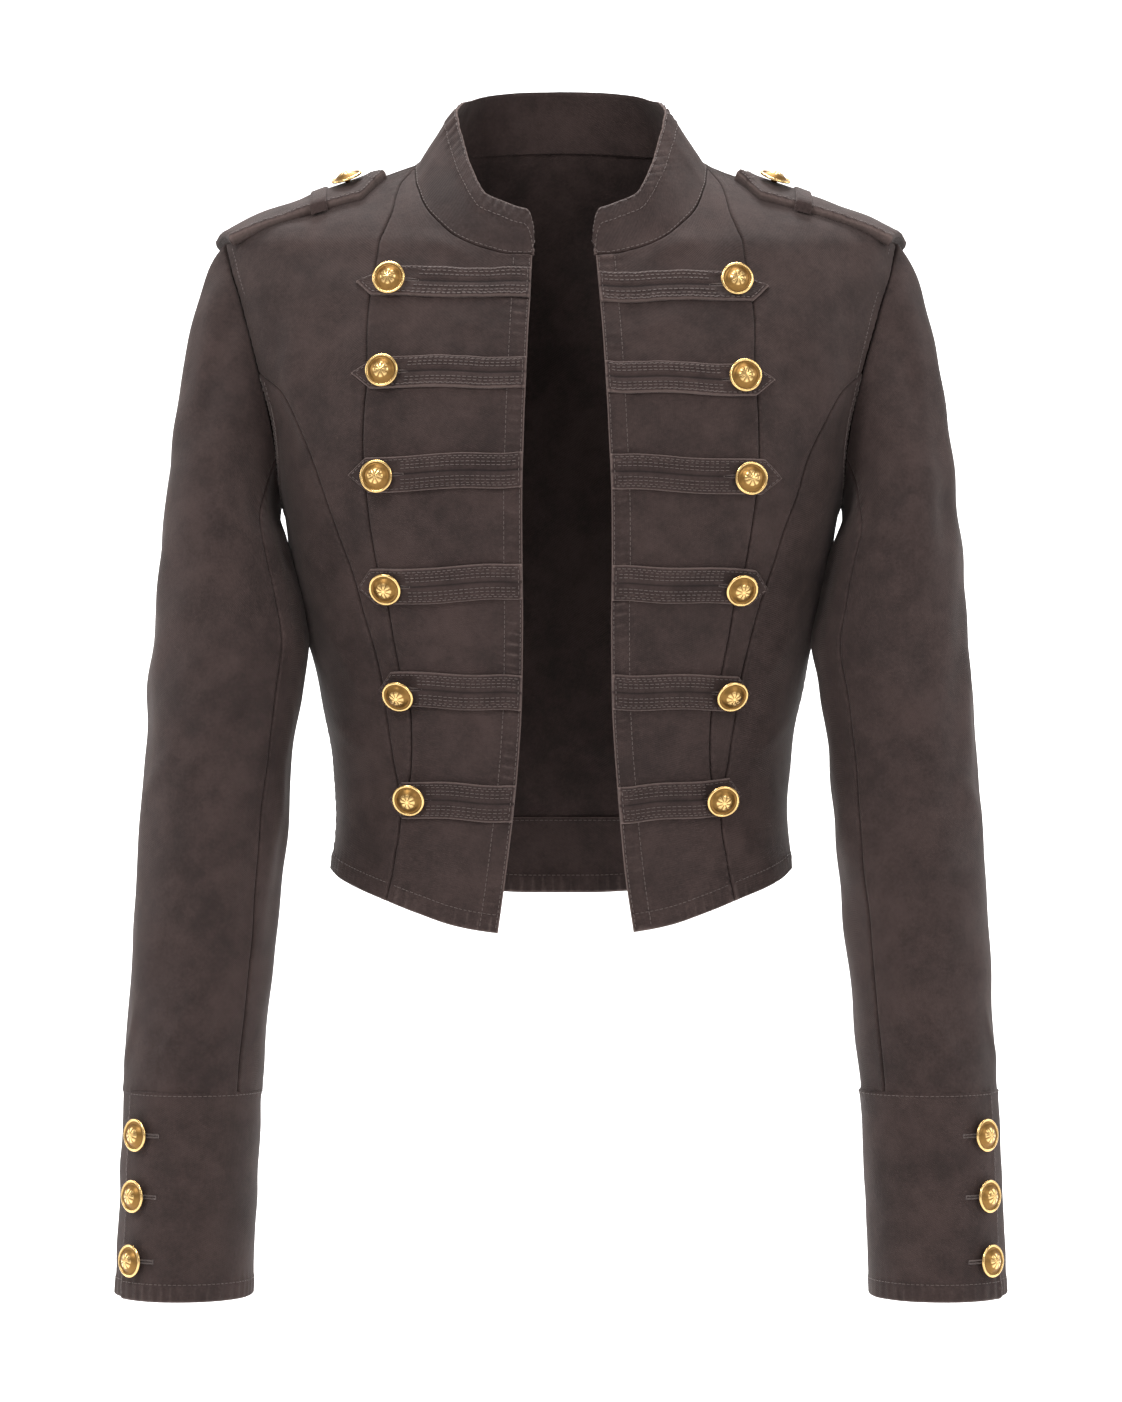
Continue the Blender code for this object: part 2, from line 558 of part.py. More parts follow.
def turned_shape(foot, axis, neck):
    """Points and faces of a button turned about its axis, from the shank's foot up to the dome."""
    shell = BUTTON_SHELL * 0.001
    profile = np.concatenate([[(SHANK_RADIUS, 0)], shell + (0, neck)])
    angle = np.arange(BUTTON_SIDES) * 2 * np.pi / BUTTON_SIDES
    helper = np.array([1.0, 0, 0]) if abs(axis[0]) < 0.7 else np.array([0, 0, 1.0])
    across = unit(np.cross(axis, helper))
    other = np.cross(axis, across)
    circle = np.cos(angle)[:, None] * across + np.sin(angle)[:, None] * other
    rings = [foot + axis * height + circle * radius for radius, height in profile[:-1]]
    points = np.concatenate(rings + [[foot + axis * profile[-1, 1]]])
    n = BUTTON_SIDES
    faces = [tuple(reversed(range(n)))]
    for ring in range(len(rings) - 1):
        for k in range(n):
            low, high = ring * n, ring * n + n
            faces.append((low + k, low + (k + 1) % n, high + (k + 1) % n, high + k))
    last = (len(rings) - 1) * n
    faces += [(last + k, last + (k + 1) % n, len(points) - 1) for k in range(n)]
    return points, faces


def add_button(name, seat, normal, axis, brass):
    """A shank button over a seat on the cloth; a tilted one stands on a longer neck to clear the cloth."""
    slope = np.sqrt(max(0.0, 1 - float(normal @ axis) ** 2))
    foot_height = GAP + SHANK_RADIUS * slope
    needed = (BUTTON_RADIUS * slope + SHELL_CLEARANCE - foot_height) / np.sqrt(1 - slope**2)
    points, faces = turned_shape(seat + normal * foot_height, axis, max(needed, SHORTEST_SHANK))
    add_solid(name, points, faces, brass)


def add_front_buttons(brass):
    for side, label, table in ((1, "left", TABS_LEFT), (-1, "right", TABS_RIGHT)):
        for number, (row, (out, up)) in enumerate(zip(table, BUTTON_FACES), 1):
            normal = facing(body, row[4], row[5]) * (side, 1, 1)
            seat = body(row[4], row[5]) * (side, 1, 1) + normal * (TAB_LIFT + TAB_WALL)
            out, up = np.radians(out), np.radians(up)
            axis = np.array([side * np.sin(out) * np.cos(up), -np.cos(out) * np.cos(up), np.sin(up)])
            add_button(f"front_button_{label}_{number}", seat, normal, axis, brass)


def add_cuff_buttons(brass):
    for side, label in ((1, "left"), (-1, "right")):
        for number, level in enumerate(CUFF_BUTTON_LEVELS, 1):
            point, outward = (grid[0, 0] for grid in sleeve_grid([CUFF_BUTTON_TURN], [sleeve_run(level)]))
            normal = outward * (side, 1, 1)
            seat = point * (side, 1, 1) + normal * CUFF_PROUD
            add_button(f"cuff_button_{label}_{number}", seat, normal, normal, brass)


def shoulder_top(across, back):
    """Point of the shoulder over a place in plan, in centimetres: its level is found by halving."""
    across, back = np.broadcast_arrays(np.asarray(across, float), np.asarray(back, float))
    low = np.full(across.shape, -7.0)
    high = np.full(across.shape, 1.5)
    turn = np.degrees(np.arctan2(across, -back))
    reach = np.hypot(across, back) * CM
    for _ in range(40):
        middle = (low + high) / 2
        inside = np.hypot(*np.moveaxis(body(turn, middle)[..., :2], -1, 0)) > reach
        low = np.where(inside, middle, low)
        high = np.where(inside, high, middle)
    return np.stack([across * CM, back * CM, middle * CM], -1)


def strap_point(across, back):
    """The shoulder under the strap, carried on straight over the shoulder's rounded end."""
    held = np.minimum(across, EPAULETTE_STRAIGHT)
    slope = (shoulder_top(EPAULETTE_STRAIGHT, back) - shoulder_top(EPAULETTE_STRAIGHT - 1.5, back)) / 1.5
    past = (across - held)[..., None]
    droop = EPAULETTE_DROOP * CM * (past / (EPAULETTE_END - EPAULETTE_STRAIGHT)) ** 3
    return shoulder_top(held, back) + slope * past - droop * (0, 0, 1)


def add_epaulettes(cloth, brass):
    """A strap with a mitred point along each shoulder, its keeper and its button."""
    widths = np.linspace(-1, 1, 5)
    places = np.concatenate([[EPAULETTE_TIP, EPAULETTE_TIP + EPAULETTE_POINT / 2],
                             np.linspace(EPAULETTE_TIP + EPAULETTE_POINT, EPAULETTE_END, EPAULETTE_ROWS)])
    across, share = np.meshgrid(places, widths)
    across = across + share * EPAULETTE_END_SLANT * np.clip((across - EPAULETTE_STRAIGHT) / 3, 0, 1)
    narrowing = np.clip((across - EPAULETTE_TIP) / EPAULETTE_POINT, 0.12, 1)
    back = EPAULETTE_MIDDLE + share * EPAULETTE_HALF_WIDTH * narrowing
    top = EPAULETTE_LIFT + EPAULETTE_WALL
    arch = np.array([-1.2, -1.14, -1.06, -0.6, 0, 0.6, 1.06, 1.14, 1.2])
    reach = EPAULETTE_HALF_WIDTH * arch
    lift = np.interp(np.abs(arch), (1.06, 1.2), (top + 2 * GAP, 2 * GAP))
    for side, label in ((1, "left"), (-1, "right")):
        mirror = np.array([side, 1, 1])
        normal = facing(strap_point, across, back)
        normal = normal * np.sign(normal[..., 2:])
        low, high = (strap_point(across, back) + normal * d for d in (EPAULETTE_LIFT, top))
        add_wall(f"epaulette_{label}", high * mirror, low * mirror, cloth)

        place = np.array([-1, 1]) * KEEPER_HALF_WIDTH + KEEPER_PLACE
        band_across, band_back = np.meshgrid(place, EPAULETTE_MIDDLE + reach)
        normal = facing(strap_point, band_across, band_back)
        normal = normal * np.sign(normal[..., 2:])
        low = strap_point(band_across, band_back) + normal * lift[:, None, None]
        add_wall(f"epaulette_keeper_{label}", (low + normal * KEEPER_WALL) * mirror, low * mirror, cloth)

        seat, middle = np.array(EPAULETTE_BUTTON), np.array(EPAULETTE_MIDDLE)
        normal = facing(strap_point, seat, middle)
        normal = normal * np.sign(normal[2])
        point = (strap_point(seat, middle) + normal * top) * mirror
        add_button(f"epaulette_button_{label}", point, normal * mirror, normal * mirror, brass)


def add_material(name, colour, roughness, metallic):
    material = bpy.data.materials.new(name)
    material.use_nodes = True
    shader = material.node_tree.nodes["Principled BSDF"]
    shader.inputs["Base Color"].default_value = colour
    shader.inputs["Roughness"].default_value = roughness
    shader.inputs["Metallic"].default_value = metallic
    material.diffuse_color = colour
    return material


def main():
    for thing in list(bpy.data.objects):
        bpy.data.objects.remove(thing, do_unlink=True)
    cloth = add_material("brown_cotton_twill", CLOTH_COLOUR, 0.85, 0.0)
    brass = add_material("antique_brass", BRASS_COLOUR, 0.32, 1.0)
    add_body_panels(cloth)
    add_hem_facing(cloth)
    add_collar(cloth)
    add_sleeves(cloth)
    add_cuffs(cloth)
    add_tabs(cloth)
    add_epaulettes(cloth, brass)
    add_front_buttons(brass)
    add_cuff_buttons(brass)


main()
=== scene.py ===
"""Looks of a cropped military jacket: brown cotton twill, topstitching and antique gold buttons.

Metres, +Z up. The front faces -Y and +X is the wearer's left. The tables of the form are in
centimetres and degrees and repeat the solids' sizes. Every cloth piece is a thin shell on its solid's form.
"""

import bpy
import numpy as np
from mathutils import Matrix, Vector


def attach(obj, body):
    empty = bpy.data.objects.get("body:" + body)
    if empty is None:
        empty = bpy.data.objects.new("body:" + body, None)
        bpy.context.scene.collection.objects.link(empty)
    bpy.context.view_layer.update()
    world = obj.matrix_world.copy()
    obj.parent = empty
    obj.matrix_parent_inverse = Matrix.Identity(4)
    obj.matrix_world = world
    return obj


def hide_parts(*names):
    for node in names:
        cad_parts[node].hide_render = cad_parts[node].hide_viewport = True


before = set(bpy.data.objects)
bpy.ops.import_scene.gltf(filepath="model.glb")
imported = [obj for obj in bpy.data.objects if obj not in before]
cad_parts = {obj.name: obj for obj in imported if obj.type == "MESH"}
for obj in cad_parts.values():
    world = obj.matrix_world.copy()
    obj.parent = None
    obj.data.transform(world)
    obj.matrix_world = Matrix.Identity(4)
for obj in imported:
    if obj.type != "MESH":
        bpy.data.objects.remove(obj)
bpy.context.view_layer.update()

CM = 0.01
MM = 0.001
WALL = 0.0015

# Levels of the body form, from the hem up: (level, half width, front depth, back depth, squareness)
BODY_FORM = np.array([
    (-46.0, 13.90, 9.8, 7.5, 2.30),
    (-41.0, 13.45, 9.65, 7.1, 2.30),
    (-38.0, 13.20, 9.65, 7.0, 2.30),
    (-35.0, 13.40, 9.8, 7.3, 2.30),
    (-31.0, 14.10, 10.2, 8.0, 2.30),
    (-27.0, 15.00, 10.8, 8.8, 2.35),
    (-23.0, 15.75, 11.5, 9.6, 2.45),
    (-19.5, 16.40, 11.8, 10.2, 2.60),
    (-15.5, 17.20, 11.4, 10.5, 2.80),
    (-12.0, 18.20, 10.4, 10.4, 2.90),
    (-8.5, 19.20, 8.8, 9.8, 2.75),
    (-6.4, 19.70, 7.6, 9.2, 2.60),
    (-5.1, 19.70, 6.9, 8.8, 2.50),
    (-4.3, 19.20, 6.3, 8.5, 2.45),
    (-3.6, 17.80, 5.8, 8.1, 2.40),
    (-2.65, 15.30, 5.0, 7.6, 2.35),
    (-1.7, 12.80, 4.1, 7.0, 2.30),
    (-0.75, 10.20, 3.3, 6.5, 2.30),
    (0.2, 7.95, 2.9, 6.0, 2.30),
    (0.9, 7.35, 3.0, 5.7, 2.30),
    (1.8, 6.90, 3.0, 5.3, 2.30),
])
# Seam lines on the form: (level, turn), from the hem up
SHOULDER_PRINCESS = np.array([
    (-37.6, 50.25), (-35.4, 46.8), (-32.2, 45.6), (-29.7, 47.2), (-26.0, 47.4), (-23.7, 48.4),
    (-19.7, 48.4), (-14.0, 48.2), (-8.6, 53.4), (-6.6, 56.3), (-3.7, 62.0), (-0.45, 79.4),
])
ARMHOLE_PRINCESS = np.array([
    (-37.6, 50.55), (-33.8, 52.4), (-29.8, 53.0), (-25.5, 54.6), (-22.1, 56.9), (-20.0, 58.6),
    (-17.9, 60.2), (-15.8, 63.0), (-13.9, 67.0), (-12.55, 74.7),
])
JOINED_PRINCESS = np.array([(-44.0, 54.9), (-41.5, 52.8), (-39.5, 51.2), (-37.6, 50.4)])
BACK_PRINCESS = np.array([
    (-44.0, 141.0), (-38.0, 143.0), (-32.0, 141.0), (-26.0, 136.0), (-20.0, 127.0),
    (-16.0, 118.0), (-13.4, 110.0), (-12.6, 106.0),
])
# The open front edge: (level, turn right, turn left)
FRONT_EDGE = np.array([
    (-44.8, 20.6, 23.6), (-41.1, 18.0, 20.9), (-37.2, 15.3, 18.9), (-31.5, 12.4, 16.1),
    (-23.6, 10.8, 14.2), (-14.5, 10.3, 13.1), (-8.7, 11.2, 14.0), (-5.9, 12.6, 15.2),
])
# Hem and neck lines: (turn, level)
HEM = np.array([
    (0.0, -44.85), (20.0, -44.75), (27.0, -44.60), (35.0, -44.30), (45.0, -43.65), (55.0, -42.95),
    (63.0, -42.45), (73.0, -41.90), (85.0, -41.45), (100.0, -41.50), (125.0, -42.35), (150.0, -42.95),
    (165.0, -43.05), (180.0, -43.05),
])
NECK = np.array([
    (0.0, -6.00), (12.0, -5.98), (20.0, -5.95), (31.0, -5.60), (41.8, -4.92), (53.0, -3.65), (67.0, -1.85),
    (80.0, -0.42), (90.0, 0.20), (110.0, 0.55), (135.0, 0.95), (160.0, 1.15), (180.0, 1.20),
])
# Armhole, every 30 degrees round the sleeve from the shoulder over the front: (turn, level)
ARMHOLE = np.array([
    (90.0, -4.40), (83.4, -5.90), (78.2, -8.90), (74.7, -12.55), (75.4, -15.9), (80.2, -18.7),
    (90.0, -19.8), (99.0, -19.0), (104.6, -16.4), (106.0, -12.60), (103.4, -8.90), (97.4, -5.90),
])
SHOULDER_NECK_TURN = 84.0
SHOULDER_TIP_TURN = 90.0
SIDE_SEAM_TURN = 92.0
PRINCESS_JOIN = -37.6
PRINCESS_FOOT_LEVEL = -43.0
FRONT_FOOT_LEVEL = -44.6
BACK_FOOT_TURN = 141.0
LINE_POINTS = 161

# Sleeve levels below the cap: (level, outer side, inner side, front, back)
SLEEVE_FORM = np.array([
    (-22.5, 23.20, 15.95, -8.5, 2.6),
    (-26.0, 23.50, 15.05, -8.6, 2.0),
    (-28.4, 23.65, 14.62, -8.7, 1.7),
    (-31.0, 23.85, 14.98, -8.8, 1.4),
    (-34.4, 24.05, 15.47, -8.8, 1.0),
    (-39.7, 24.40, 15.95, -8.8, 0.6),
    (-45.0, 24.75, 16.45, -8.7, 0.3),
    (-50.0, 25.02, 16.95, -8.5, 0.2),
    (-53.9, 25.22, 17.35, -8.3, 0.2),
    (-66.0, 25.75, 17.95, -8.2, 0.5),
])
# How the cap leaves the armhole, every 90 degrees from the shoulder: (out, forward, up, pull in cm)
CAP_START = np.array([
    (0.86, 0.0, -0.50, 7.0), (0.55, 0.35, -0.75, 9.0), (0.30, 0.0, -0.95, 3.0), (0.55, -0.40, -0.72, 9.0),
])
CAP_END_PULL = np.array([17.0, 10.0, 3.0, 10.0])
FRONT_SLEEVE_SEAM = 135
BACK_SLEEVE_SEAM = 285

CUFF_TOP = -53.9
CUFF_BOTTOM = -65.9
CUFF_WALL = 0.0020
CUFF_PROUD = 0.0009
CUFF_EDGE_TURN = 30.0
CUFF_OVERLAP = 26.0
CUFF_TUCK = 0.0027
CUFF_HOLE_TURN = 60.5
CUFF_HOLE_LENGTH = 0.009
CUFF_BUTTON_TURN = 47.0
CUFF_BUTTON_LEVELS = (-56.4, -59.9, -63.6)

# Collar: (turn, height up the cloth, lean towards the neck)
COLLAR = np.array([
    (12.0, 2.85, 19.0), (22.0, 3.15, 22.0), (32.0, 3.38, 27.4), (38.0, 3.42, 28.6), (43.0, 3.80, 29.8),
    (50.0, 4.15, 33.7), (60.0, 4.38, 38.5), (72.0, 4.32, 37.0), (90.0, 4.05, 32.0), (110.0, 3.95, 29.0),
    (130.0, 3.85, 21.0), (155.0, 3.75, 13.0), (180.0, 3.72, 11.0),
])
COLLAR_WALL = 0.0020
COLLAR_CENTRE = -0.5
COLLAR_ROUNDING = 5.5
COLLAR_END_SHARE = 0.30
COLLAR_BELLY = 0.0008
COLLAR_LAP = 0.0008

# Front tabs, top to bottom: (inner level, tip turn, tip level, half height, button turn, button level)
TABS_RIGHT = np.array([
    (-7.72, 57.4, -7.62, 0.86, 51.2, -7.62),
    (-12.97, 51.4, -12.92, 0.90, 45.2, -12.90),
    (-18.50, 51.7, -18.75, 1.00, 44.8, -18.82),
    (-24.77, 54.0, -25.11, 1.00, 46.2, -25.05),
    (-31.10, 53.5, -30.85, 1.00, 47.0, -31.05),
    (-37.40, 53.7, -37.14, 1.05, 46.6, -37.05),
])
TABS_LEFT = np.array([
    (-8.02, 57.5, -7.82, 0.86, 51.8, -7.68),
    (-13.23, 52.1, -13.37, 0.90, 46.0, -13.18),
    (-18.62, 53.5, -18.92, 1.00, 46.0, -18.93),
    (-24.86, 55.1, -25.10, 1.00, 47.5, -25.10),
    (-31.04, 55.8, -31.08, 1.00, 49.3, -31.05),
    (-37.49, 56.4, -36.95, 1.05, 49.4, -37.10),
])
# How each front button faces: (degrees out to the side, degrees up)
BUTTON_FACES = ((10.0, 9.0), (11.0, 4.0), (11.0, 0.0), (16.0, -22.0), (20.0, -29.0), (14.0, -20.0))
TAB_WALL = 0.0016
TAB_LIFT = 0.0006
TAB_POINT = 4.2
TAB_INSET = 0.15
TAB_TIP_SHARE = 0.03
TAB_STITCH_ROWS = (3.2, 5.2, 7.2)
TAB_STITCH_PITCH = 2.0
TAB_HOLE_LENGTH = 0.008

BUTTON_RADIUS = 0.0095
SHANK_RADIUS = 0.0020
SHELL_CLEARANCE = 0.0009
SHORTEST_SHANK = 0.0022
SEWN_GAP = 0.0003
BUTTON_STEPS = 48
PETALS = 8
BEADS = 24
BEAD_RING = 7.4
# Turned outline of the button's shell: (radius, height) in millimetres from its back
BUTTON_SHELL = np.array([
    (2.0, 0.0), (5.5, -0.1), (8.4, 0.0), (9.1, 0.15), (9.45, 0.55), (9.5, 1.0), (9.25, 1.45), (8.8, 1.7),
    (8.3, 1.68), (7.95, 1.4), (7.75, 1.05), (7.4, 0.95), (7.0, 1.05), (6.5, 1.5), (6.0, 2.0), (5.4, 2.5),
    (4.8, 2.85), (4.1, 3.2), (3.4, 3.5), (2.7, 3.72), (2.0, 3.88), (1.3, 3.98), (0.65, 4.05),
])

EPAULETTE_TIP = 10.15
EPAULETTE_END = 19.6
EPAULETTE_END_SLANT = 0.5
EPAULETTE_DROOP = 0.40
EPAULETTE_STRAIGHT = 16.5
EPAULETTE_HALF_WIDTH = 1.85
EPAULETTE_MIDDLE = -1.55
EPAULETTE_POINT = 1.35
EPAULETTE_WALL = 0.0030
EPAULETTE_LIFT = 0.0012
EPAULETTE_BUTTON = 12.25
KEEPER_PLACE = 13.95
KEEPER_HALF_WIDTH = 0.48
KEEPER_WALL = 0.0012
PADDING = 0.0005

FACING_TOP = -38.5
FACING_TURN = 139.0
FACING_WALL = 0.0010
FACING_DEPTH = 0.0031

# How edges are finished: (groove mm, ridge mm, ridge width mm, pucker mm, paleness from wear and painted
# highlight, stitch rows mm)
FINISHES = {
    "plain": (0.0, 0.0, 1.0, 0.0, 0.0, ()),
    "seam": (0.75, 0.22, 3.4, 0.28, 0.45, ()),
    "topped": (0.80, 0.60, 8.5, 0.45, 0.45, (1.9, 7.6)),
    "close": (0.80, 0.35, 3.4, 0.30, 0.45, (2.0,)),
    "edge": (0.0, 0.50, 11.5, 0.95, 0.80, (1.5, 10.6)),
    "hem": (0.0, 0.45, 10.8, 0.60, 0.70, (10.3,)),
    "rim": (0.0, 0.35, 3.5, 0.25, 0.75, (1.9,)),
}
GROOVE_WIDTH = 0.8
PUCKER_PITCH = 6.3
DIMPLE_DEPTH = 0.22
DIMPLE_WIDTH = 0.7
DIMPLE_SHADE = 0.28
# The cloth's soft unevenness: (length of its waves, seed, height mm)
UNEVENNESS = {
    "body": (0.045, 3, 0.5), "sleeve": (0.04, 11, 0.7), "cuff": (0.035, 19, 0.25), "collar": (0.03, 23, 0.3),
    "epaulette": (0.02, 31, 0.25),
}
WAVES = 16
CREASE_STRENGTH = 1.7
# Centimetres of cloth to a degree of turn, for creases on the body and on a sleeve
BODY_REACH = 0.21
SLEEVE_REACH = 0.075
# Soft creases of the body: (side, turn, level, turn, level, height mm, width mm); side 0 is both
BODY_CREASES = np.array([
    (-1, 66, -9.5, 60.5, -17.5, 1.1, 7), (1, 67, -9.0, 61, -16.5, 0.9, 8),
    (0, 70, -8.5, 66, -12.5, -1.1, 9), (-1, 57, -9.5, 55, -15, -0.7, 9),
    (1, 58, -10.0, 54, -15.5, -0.6, 10), (0, 40, -9.3, 20, -10.6, 0.6, 6),
    (0, 22, -9.2, 30, -12.0, -0.5, 7), (0, 30, -6.6, 50, -5.0, 0.5, 6),
    (-1, 48, -22, 30, -27.5, 0.5, 8), (1, 46, -21.5, 26, -22.8, 0.5, 8),
    (0, 60, -24, 45, -28.5, 0.5, 9), (0, 66, -28, 50, -33.5, 0.6, 9),
    (0, 74, -33, 48, -35.2, 0.5, 8), (0, 80, -36.5, 60, -36.0, -0.6, 9),
    (-1, 40, -33.5, 24, -35.0, 0.5, 7), (1, 38, -33.0, 25, -34.8, -0.5, 7),
    (0, 62, -39.2, 40, -41.0, 0.5, 8), (0, 85, -22, 78, -30, 0.8, 10),
    (0, 96, -24, 104, -33, 0.9, 11), (0, 108, -18, 118, -28, -0.9, 12),
    (0, 128, -36.5, 165, -37.5, 0.8, 9), (0, 140, -34.2, 172, -34.0, -0.7, 9),
    (-1, 150, -9, 172, -14, 0.8, 14), (1, 152, -10, 170, -16, 0.7, 13),
    (0, 118, -9, 128, -18, 0.9, 13), (0, 130, -12, 136, -24, -0.7, 14),
])
# Soft creases of the sleeves: (side, angle, level, angle, level, height mm, width mm)
SLEEVE_CREASES = np.array([
    (0, 40, -7, 52, -14, 0.9, 10), (0, 62, -9, 70, -17, -0.9, 9), (0, 20, -9, 26, -24, 0.7, 13),
    (-1, 105, -29, 60, -32.5, 0.9, 9), (1, 108, -28.5, 64, -33, 0.9, 9), (0, 122, -31.5, 80, -36.5, -0.8, 9),
    (-1, 60, -34, 20, -37, 0.8, 10), (1, 52, -35.5, 15, -38, 0.7, 11), (0, 100, -38.5, 45, -41, 0.6, 10),
    (-1, 95, -47.5, 60, -52.3, 0.9, 7), (1, 100, -48, 62, -52.6, 0.8, 7), (0, 118, -49, 98, -52.8, -0.7, 6),
    (0, 30, -49.5, 10, -52.5, 0.7, 7), (0, 200, -26, 230, -31, 1.0, 10), (0, 215, -31, 250, -36, -0.9, 10),
    (0, 260, -29, 300, -34, 0.9, 11), (0, 240, -40, 290, -43, 0.8, 11), (0, 170, -22, 190, -28, 0.8, 9),
    (0, 320, -10, 330, -20, 0.8, 12), (0, 300, -12, 290, -22, -0.8, 11), (0, 265, -48, 300, -51.5, 0.7, 9),
])


def unit(vectors):
    return vectors / np.maximum(np.linalg.norm(vectors, axis=-1, keepdims=True), 1e-12)


def smooth_line(knots, values):
    """A smooth function through the points, which never swings past its neighbours (monotone cubic)."""
    step = np.diff(knots)
    slope = np.diff(values) / step
    tangent = np.concatenate([slope[:1], np.zeros(len(slope) - 1), slope[-1:]])
    rising = slope[:-1] * slope[1:] > 0
    before, after = slope[:-1][rising], slope[1:][rising]
    long, short = 2 * step[1:][rising] + step[:-1][rising], step[1:][rising] + 2 * step[:-1][rising]
    tangent[1:-1][rising] = (long + short) / (long / before + short / after)

    def at(x):
        x = np.clip(np.asarray(x, float), knots[0], knots[-1])
        i = np.clip(np.searchsorted(knots, x) - 1, 0, len(step) - 1)
        t = (x - knots[i]) / step[i]
        ends = (1 + 2 * t) * (1 - t) ** 2 * values[i] + t * t * (3 - 2 * t) * values[i + 1]
        return ends + step[i] * (t * (1 - t) ** 2 * tangent[i] - t * t * (1 - t) * tangent[i + 1])

    return at


def closed_line(values):
    """A smooth loop through evenly spaced values, as a function of degrees (Catmull-Rom)."""
    values = np.asarray(values, float)
    span = 360 / len(values)

    def at(angle):
        place = np.asarray(angle, float) % 360 / span
        i = np.floor(place).astype(int)
        t = place - i
        a, b, c, d = (values[(i + k) % len(values)] for k in (-1, 0, 1, 2))
        return b + t / 2 * (c - a + t * (2 * a - 5 * b + 4 * c - d + t * (3 * (b - c) + d - a)))

    return at


def smooth_step(low, high, x):
    """0 below the low value, 1 past the high one, and a soft step between; low may be the larger."""
    t = np.clip((x - low) / (high - low), 0, 1)
    return t * t * (3 - 2 * t)


def unevenness(points, side, kind):
    """Height of the cloth's soft unevenness: cosine waves of about one length in random directions."""
    size, seed, height = UNEVENNESS[kind]
    draw = np.random.default_rng(seed)
    directions = unit(draw.normal(size=(WAVES, 3)))
    directions = directions * 2 * np.pi / (size * draw.uniform(0.6, 1.6, WAVES))[:, None]
    waves = np.cos(points * (side, 1, 1) @ directions.T + draw.uniform(0, 6.28, WAVES))
    return waves.sum(-1) / np.sqrt(WAVES) * height * MM


def table_line(table, column=1):
    """The smooth line of one column of a table over its first column."""
    return smooth_line(table[:, 0], table[:, column])


body_columns = [table_line(BODY_FORM, k) for k in (1, 2, 3, 4)]
hem_level = table_line(HEM)
neck_level = table_line(NECK)
armhole_turn = closed_line(ARMHOLE[:, 0])
armhole_level = closed_line(ARMHOLE[:, 1])
# The wearer's left is 1, where turns count up, and the right is its mirror image, -1
LABELS = {1: "left", -1: "right"}
front_edges = {1: table_line(FRONT_EDGE, 2), -1: table_line(FRONT_EDGE, 1)}
tab_tables = {1: TABS_LEFT, -1: TABS_RIGHT}


def body(turn, level):
    """Point of the body form: an oval's radius at this turn, at this level."""
    angle = np.radians(turn)
    half_width, front, back, square = (column(level) for column in body_columns)
    depth = np.where(np.cos(angle) > 0, front, back)
    across = np.abs(np.sin(angle)) / half_width
    along = np.abs(np.cos(angle)) / depth
    radius = (across**square + along**square) ** (-1 / square)
    return np.stack([radius * np.sin(angle), -radius * np.cos(angle), level + 0 * radius], -1) * CM


def facing(form, u, v, step=0.05):
    """Outward normal of a form at (u, v), from the points a small step to each side."""
    return unit(np.cross(form(u + step, v) - form(u - step, v), form(u, v + step) - form(u, v - step)))


# Stitch lines wait here, by group, as (points, normals), and become threads at the end
stitch_lines = {"body": [], "sleeve": [], "tab": []}


def graded(count, length, offsets=np.array([0, 0.35, 0.8, 1.5, 2.4]) * MM):
    """Shares from 0 to 1 along a length: fixed small steps near both ends, even steps between."""
    near = offsets / np.maximum(np.asarray(length, float)[..., None], 4 * offsets[-1])
    inner = np.linspace(0, 1, count - 2 * len(offsets) + 2)[1:-1]
    middle = near[..., -1:] + (1 - 2 * near[..., -1:]) * inner
    return np.concatenate([near, middle, 1 - near[..., ::-1]], -1)


def pairs(turns, levels):
    turns, levels = np.broadcast_arrays(np.asarray(turns, float), np.asarray(levels, float))
    return np.stack([turns, levels], -1)


def along(edge, share):
    """The (turn, level) pair at a share of an edge's length, where a turn counts as 0.2 cm."""
    step = np.hypot(np.diff(edge[:, 0]) * 0.2, np.diff(edge[:, 1]))
    place = np.concatenate([[0], np.cumsum(step)]) / step.sum()
    return np.stack([np.interp(share, place, edge[:, k]) for k in (0, 1)], -1)


def patch(left, right, bottom, top, rows, columns):
    """Grid of (turn, level) between four lines (Coons patch), with close rows near its four edges."""
    rise, run = np.linspace(0, 1, rows), np.linspace(0, 1, columns)
    width = np.linalg.norm(body(*along(left, rise).T) - body(*along(right, rise).T), axis=-1)
    height = np.linalg.norm(body(*along(bottom, run).T) - body(*along(top, run).T), axis=-1)
    s, t = graded(columns, width), graded(rows, height).T
    a, b = s[..., None], t[..., None]
    low, high = (1 - a) * bottom[0] + a * bottom[-1], (1 - a) * top[0] + a * top[-1]
    corners = (1 - b) * low + b * high
    return ((1 - a) * along(left, t) + a * along(right, t)
            + (1 - b) * along(bottom, s) + b * along(top, s) - corners)


def creases(table, side, across, level, reach):
    """Height of soft creases: each is a bell across its line that fades towards both ends."""
    height = np.zeros_like(level)
    for where, a0, l0, a1, l1, tall, wide in table:
        if where not in (0, side):
            continue
        dx, dy = (a1 - a0) * reach, l1 - l0
        px, py = (across - a0) * reach, level - l0
        share = (px * dx + py * dy) / (dx * dx + dy * dy)
        bow = 0.25 * np.sin(np.clip(share, 0, 1) * np.pi) * (1 if tall > 0 else -1)
        off = (px * dy - py * dx) / np.hypot(dx, dy) * 10 + bow * wide
        fade = smooth_step(-0.25, 0.3, share) * smooth_step(1.25, 0.6, share)
        height += CREASE_STRENGTH * tall * MM * np.exp(-(off / wide) ** 2 * 2) * fade
    return height


